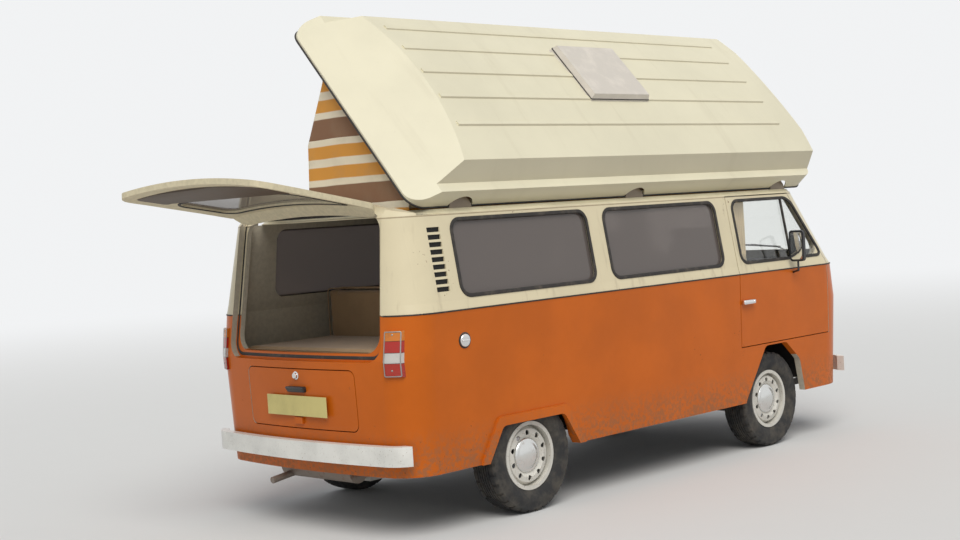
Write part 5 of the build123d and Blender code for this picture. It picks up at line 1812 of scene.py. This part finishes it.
@dataclass
class Cushions:
    """All the cushions of the cab seats, the bench and the bed."""

    seat: Finish = WovenCloth("SeatCloth", (0.07, 0.065, 0.06), 600)
    bed: Finish = WovenCloth("CushionCloth", (0.42, 0.27, 0.14), 600)

    def build(self) -> None:
        """Builds each cushion, copies the cab's to the other side and dresses them."""
        flip = Matrix.Scale(-1, 4, ACROSS)
        for cushion in (
            Cushion("seat_pad", (0.985, 0.162, 0.806), (1.466, 0.618, 0.924), self.seat),
            Cushion("seat_back", (0.975, 0.162, 0.929), (1.080, 0.618, 1.500), self.seat),
            Cushion("bench_pad", (-1.232, -0.392, 0.806), (-0.782, 0.740, 0.916), self.bed, 0.009),
            Cushion("bench_back", (-1.342, -0.392, 0.884), (-1.237, 0.740, 1.285), self.bed, 0.009),
            Cushion("bed_pad", (-2.040, -0.690, 0.884), (-1.352, 0.690, 0.994), self.bed, 0.010),
        ):
            shape, cord = cushion.build(), cushion.piping()
            pairs = [(shape, cord, "")]
            if cushion.name.startswith("seat"):
                twins = (shape.copy("twin", flip), cord.copy("twin", flip), "_right")
                pairs = [(shape, cord, "_left"), twins]
            for pad, cord, word in pairs:
                pad.piece.name, cord.piece.name = cushion.name + word, f"{cushion.name}_piping{word}"
                piece = pad.finish(cushion.finish, "seat_cloth")
                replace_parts(piece, "seat_cushions")
                cord.finish(cushion.finish, "seat_cloth")


@dataclass
class Curtains:
    """The gathered curtains between the cab and the living space, tied back at the doors."""

    along: tuple[float, float] = (0.816, 1.116)
    near: float = 0.703
    heights: tuple[float, float] = (1.222, 1.690)
    folds: int = 14
    depth: float = 0.0105
    rail_height: float = 1.6935

    def curtain(self, side: Side) -> None:
        """Hangs one curtain in deep folds.

        Args:
            side: the van's side.
        """
        name, steps = f"cab_curtain_{side.word}", self.folds * 12
        sheet = Shape.start(name, "grid", x_subdivisions=steps, y_subdivisions=30, size=2)
        mesh = sheet.piece.data
        (rear, front), (low, high) = self.along, self.heights
        for vertex in mesh.vertices:
            share, rise = (vertex.co.x + 1) / 2, (vertex.co.y + 1) / 2
            phase = share * self.folds * 2 * math.pi
            wander = noise.noise(Vector((share * 5, rise * 1.7, side.value)))
            swing = math.sin(phase + 0.9 * wander) * self.depth * (0.72 + 0.28 * math.cos(rise * 2.3) + 0.1 * wander)
            x = rear + (front - rear) * (share + 0.25 / (self.folds * 6) * math.sin(2 * phase) * (1 - rise))
            z = low + (high - low) * rise + 0.002 * math.sin(phase * 0.5) * (1 - rise)
            vertex.co = at(x, side.value * (self.near + swing), z)
        sheet.modify("SOLIDIFY", thickness=0.001, offset=0)
        piece = sheet.smooth(80).finish(WovenCloth(), "curtain_cloth")
        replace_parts(piece, "cab_curtains")

    def build(self) -> None:
        """Hangs both curtains and the rails that carry them."""
        rear, front = self.along
        for side in Side:
            self.curtain(side)
            points = [at(x, side.value * self.near, self.rail_height) for x in (rear - 0.01, front + 0.01)]
            rail(f"curtain_rail_{side.word}", points, 0.004, False).finish(*CHROME)


# The cab and the living space, as far as the glass and the open tailgate show them


@dataclass
class Inside:
    """Instruments, levers, door cards, cabinet doors and floor coverings."""

    driver: float = -0.390
    dash_face: float = 1.905
    cabinet: tuple[float, float, float, float, float] = (-0.735, 0.690, -0.420, 0.450, 1.188)
    bench: tuple[float, float, float, float] = (-0.775, -0.400, 0.450, 0.806)
    pull_profile: Flat = (
        (-0.002, 0.0), (-0.002, 0.014), (0.002, 0.014), (0.006, 0.007), (0.014, 0.007), (0.020, 0.015),
        (0.026, 0.013), (0.028, 0.0),
    )

    def instruments(self) -> None:
        """Sets two dials and a row of knobs in the dash."""
        ring = [(-0.01, 0.046), (-0.01, 0.052), (0.005, 0.052), (0.007, 0.049), (0.004, 0.046), (-0.01, 0.046)]
        disc = [(-0.006, 0.0), (-0.006, 0.047), (0.001, 0.047), (0.0015, 0.0)]
        cap = [(-0.002, 0.0), (-0.002, 0.012), (0.012, 0.011), (0.016, 0.008), (0.017, 0.0)]
        face = Moulding("DialFace", (0.05, 0.05, 0.05), 0.3)
        for number, across in enumerate((self.driver - 0.075, self.driver + 0.075)):
            centre = at(self.dash_face, across, 1.165)
            Shape.turned(f"dial_rim_{number}", ring, centre, -ALONG).finish(*CHROME)
            dial = Shape.turned(f"dial_{number}", disc, centre, -ALONG)
            low, high = centre + Vector((-0.0035, -0.001, 0)), centre + Vector((-0.002, 0.001, 0.036))
            dial.join([Shape.block("needle", low, high, 0.0004, 1)]).finish(face, "black_plastic")
        places = [at(self.dash_face, -0.15 + 0.075 * k, 1.120) for k in range(5)]
        knobs = [Shape.turned("knob", cap, place, -ALONG, 20) for place in places]
        knobs[0].join(knobs[1:], "dash_knobs").finish(*BLACK)

    def levers(self) -> None:
        """Stands the gear lever, with its gaiter and knob, on the cab floor."""
        path = [at(x, -0.03, z) for x, z in ((1.700, 0.452), (1.690, 0.56), (1.600, 0.74), (1.560, 0.830))]
        lever = rail("gear_lever", path, 0.0075, False, 4)
        boot = [
            (-0.004, 0.0), (-0.004, 0.075), (0.004, 0.078), (0.018, 0.060), (0.026, 0.062), (0.040, 0.044),
            (0.048, 0.046), (0.066, 0.022), (0.080, 0.012), (0.080, 0.0),
        ]
        gaiter = Shape.turned("gaiter", boot, at(1.703, -0.03, 0.452), Vector((-0.1, 0, 1)), 32)
        grip = [(-0.022, 0.0), (-0.022, 0.012), (-0.010, 0.020), (0.008, 0.022), (0.020, 0.016), (0.025, 0.0)]
        knob = Shape.turned("knob", grip, path[-1], path[-1] - path[-2], 28)
        lever.join([gaiter, knob]).finish(*BLACK)

    def door_cards(self) -> None:
        """Lines the cab doors with padded boards, each with its pull."""
        finish = Moulding("DoorCard", (0.16, 0.11, 0.07), 0.55)
        for side in Side:
            s = side.value
            corners = [at(x, s * 0.8100, z) for x, z in rectangle(0.860, 1.800, 0.780, 1.165)]
            card = Shape.outline(f"door_card_{side.word}", corners).round_corners(0.03, 5).plate(0.006, 0.002)
            path = ((1.10, 0.806), (1.12, 0.775), (1.30, 0.775), (1.32, 0.806))
            pull = rail("pull", [at(x, s * y, 1.06) for x, y in path], 0.009, False)
            card.join([pull]).finish(finish, "black_plastic", f"cab_door_{side.word}")

    def doors(self) -> None:
        """Hangs the cabinet's and the bench's doors, each with a round pull."""
        rear, front, face, low, high = self.cabinet
        width, gap = (front - rear) / 3, 0.004
        pulls = []
        for k in range(3):
            near, far = rear + k * width + gap, rear + (k + 1) * width - gap
            corners = (at(near, face, low + 0.05), at(far, face + 0.016, high - 0.03))
            Shape.block(f"cabinet_door_{k}", *corners, 0.002).finish(*BOARD)
            pulls.append(self.pull(at(far - 0.05, face + 0.016, high - 0.12), ACROSS))
        face, side, low, high = self.bench
        for k in range(2):
            near, far = side + 0.03 + k * 0.49, side + 0.50 + k * 0.49
            corners = (at(face, near, low + 0.04), at(face + 0.014, far, high - 0.03))
            Shape.block(f"bench_door_{k}", *corners, 0.002).finish(*BOARD)
            pulls.append(self.pull(at(face + 0.014, far - 0.06, high - 0.09), ALONG))
        pulls[0].join(pulls[1:], "door_pulls").finish(*CHROME)

    def pull(self, centre: Vector, axis: Vector) -> Shape:
        """A round door pull that stands out along an axis from the middle of its foot."""
        return Shape.turned("pull", self.pull_profile, centre, axis, 24)

    def floors(self) -> None:
        """Covers the floors with ribbed mats."""
        mat = Moulding("FloorMat", (0.085, 0.07, 0.055), 0.75, 90, 0.6)
        for name, low, high in (
            ("living_floor_mat", (-0.765, -0.400, 0.450), (0.830, 0.640, 0.454)),
            ("cab_floor_mat", (1.475, -0.395, 0.450), (1.880, 0.395, 0.454)),
        ):
            Shape.block(name, at(*low), at(*high), 0.0015).finish(mat, "underbody")

    def build(self) -> None:
        """Builds all of it."""
        self.instruments()
        self.levers()
        self.door_cards()
        self.doors()
        self.floors()


# The finishes of the CAD nodes that stay in view; tyres and rims go by the starts of their names

NODE_FINISH: dict[Finish, tuple[str, ...]] = {
    UNDERSEAL: ("floor_pan", "chassis_frame"),
    ORANGE_AND_CREAM: (
        "side_panel_right", "side_panel_left", "sliding_door", "front_panel", "rear_panel", "cab_door_right",
        "cab_door_left", "engine_lid",
    ),
    CREAM: ("roof_surround",),
    TailgatePaint(): ("tailgate",),
    SMOKED_GLASS: ("fixed_windows", "tailgate_glass"),
    TAIL_LENS: ("signal_lamps",),
    BUMPER_PAINT: ("bumpers",),
    DARK_METAL: ("suspension", "knuckle_right", "knuckle_left"),
    Moulding(): ("cab_controls", "air_grille", "mirror_right", "mirror_left", "cab_seat_frames"),
    BoardLaminate(): ("living_furniture",),
    WovenCloth("SeatCloth", (0.07, 0.065, 0.06), 600): ("seat_cushions",),
    TintedGlass(): ("door_glass_right", "door_glass_left"),
    Metal(): ("headlamps", "filler_cap"),
    RoofLaminate(): ("roof_shell",),
    Moulding("RoofLight", (0.74, 0.68, 0.60), 0.35, 200, 0.1, 0.2): ("roof_vent",),
    # painted shade: the hinge humps of the ivory roof shell get a dark brown tone for the shade in their pockets; the
    # chips on it are wear
    SpottedPaint("HingeCover", (0.27, 0.21, 0.145), wear=0.2): ("roof_hinges",),
    WovenCloth("CanvasCloth", (0.62, 0.27, 0.045)): ("roof_fabric",),
    Metal("CastAlloy", (0.33, 0.32, 0.30), (0.12, 0.09, 0.06), 0.6, 0.5, 0.7): ("engine_block",),
    Metal("RustySteel", (0.24, 0.20, 0.17), (0.20, 0.08, 0.035), 0.8, 0.55, 0.6): ("exhaust",),
    WovenCloth(): ("cab_curtains",),
}


def dress_nodes() -> None:
    """Gives every CAD node that stays in view its finish."""
    finishes = {node: finish for finish, nodes in NODE_FINISH.items() for node in nodes}
    for node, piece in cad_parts.items():
        finish = finishes.get(node) or (TyreRubber() if node.startswith("tyre") else WHEEL_PAINT)
        if not piece.data.materials:
            piece.data.materials.append(None)
        for slot in piece.material_slots:
            slot.material = finish.material()


@dataclass
class Studio:
    """The floor, the light and the camera, which stand for the place and not for the van."""

    eye: Vector = field(default_factory=lambda: at(-7.1694, -6.4776, 1.6843))
    aim: Vector = field(default_factory=lambda: at(-0.57, 0.14, 1.33))
    yaw: float = 0.302
    pitch: float = 0.0841
    roll: float = -0.0743
    lens: float = 55.5
    sensor: float = 36.0
    pale: Colour = (0.70, 0.70, 0.69)
    fade: tuple[float, float] = (5.0, 24.0)
    sky: Colour = (0.93, 0.96, 1.0)
    sky_strength: float = 0.46
    sun_turn: tuple[float, float, float] = (38, -14, -22)
    sun_energy: float = 2.1
    sun_spread: float = 40
    sun_tint: Colour = (1.0, 0.98, 0.94)
    backdrop: Colour = (0.93, 0.94, 0.95)
    backdrop_strength: float = 0.95

    def floor(self) -> None:
        """Lays a plain pale floor that fades into the backdrop."""
        shape, paint = Shape.start("floor", "plane", size=120), Shader("FloorPale")
        tone = paint.mix(paint.grain(3.0, 3), self.pale, dim(self.pale, 0.985))
        paint.surface(base_color=tone, roughness=0.9)
        away = paint.node("VectorMath", {"operation": "LENGTH"}, {0: paint.place()}, "Value").ramp(*self.fade)
        glow = {"emission_color": self.backdrop, "emission_strength": self.backdrop_strength}
        paint.second_surface(paint.seen() * away, base_color=(0, 0, 0), specular_ior_level=0.0, **glow)
        shape.piece.data.materials.append(paint.material)

    def world(self) -> None:
        """Lights the scene evenly; camera, gloss and glass see a pale backdrop."""
        world = bpy.context.scene.world = bpy.data.worlds.new("Studio")
        world.use_nodes = True
        nodes = Nodes(world.node_tree, "World")
        sky = nodes.node("Background", None, {"Color": self.sky, "Strength": self.sky_strength})
        backdrop = nodes.node("Background", None, {"Color": self.backdrop, "Strength": self.backdrop_strength})
        nodes.plug(nodes.output, nodes.node("MixShader", None, {0: nodes.seen(), 1: sky, 2: backdrop}))

    def lamps(self) -> None:
        """Hangs one broad soft sun over the photograph's side of the van."""
        deselect()
        bpy.ops.object.light_add(type="SUN", rotation=[math.radians(turn) for turn in self.sun_turn])
        sun = bpy.context.object.data
        sun.energy, sun.angle, sun.color = self.sun_energy, math.radians(self.sun_spread), self.sun_tint

    def camera(self) -> None:
        """Stands the camera where the photographer stood, aimed at the van."""
        level = Vector((math.sin(self.yaw), -math.cos(self.yaw), 0))
        forward = math.cos(self.pitch) * Vector((math.cos(self.yaw), math.sin(self.yaw), 0)) + math.sin(self.pitch) * UP
        upright = level.cross(forward)
        c, s = math.cos(self.roll), math.sin(self.roll)
        turn = forward.rotation_difference((self.aim - self.eye).normalized())
        axes = [turn @ axis for axis in (c * level + s * upright, c * upright - s * level, -forward)]
        data = bpy.data.cameras.new("camera")
        data.lens, data.sensor_width = self.lens, self.sensor
        camera = bpy.data.objects.new("camera", data)
        bpy.context.scene.collection.objects.link(camera)
        camera.matrix_world = Matrix.Translation(self.eye) @ Matrix(axes).transposed().to_4x4()
        bpy.context.scene.camera = camera

    def build(self) -> None:
        """Builds the studio."""
        bpy.context.scene.view_settings.view_transform = "Standard"
        self.floor()
        self.world()
        self.lamps()
        self.camera()


def main() -> None:
    """Builds every sub-assembly in order."""
    logging.basicConfig(level=logging.INFO, format="%(message)s")
    dress_nodes()
    for kind in (SideWindows, BodyTrim, Mirrors, Nose, Tail, RaisedRoof, Wheel, Cushions, Curtains, Inside, Studio):
        log.info("%s", kind.__name__)
        kind().build()
    deselect()


if __name__ == "__main__":
    main()
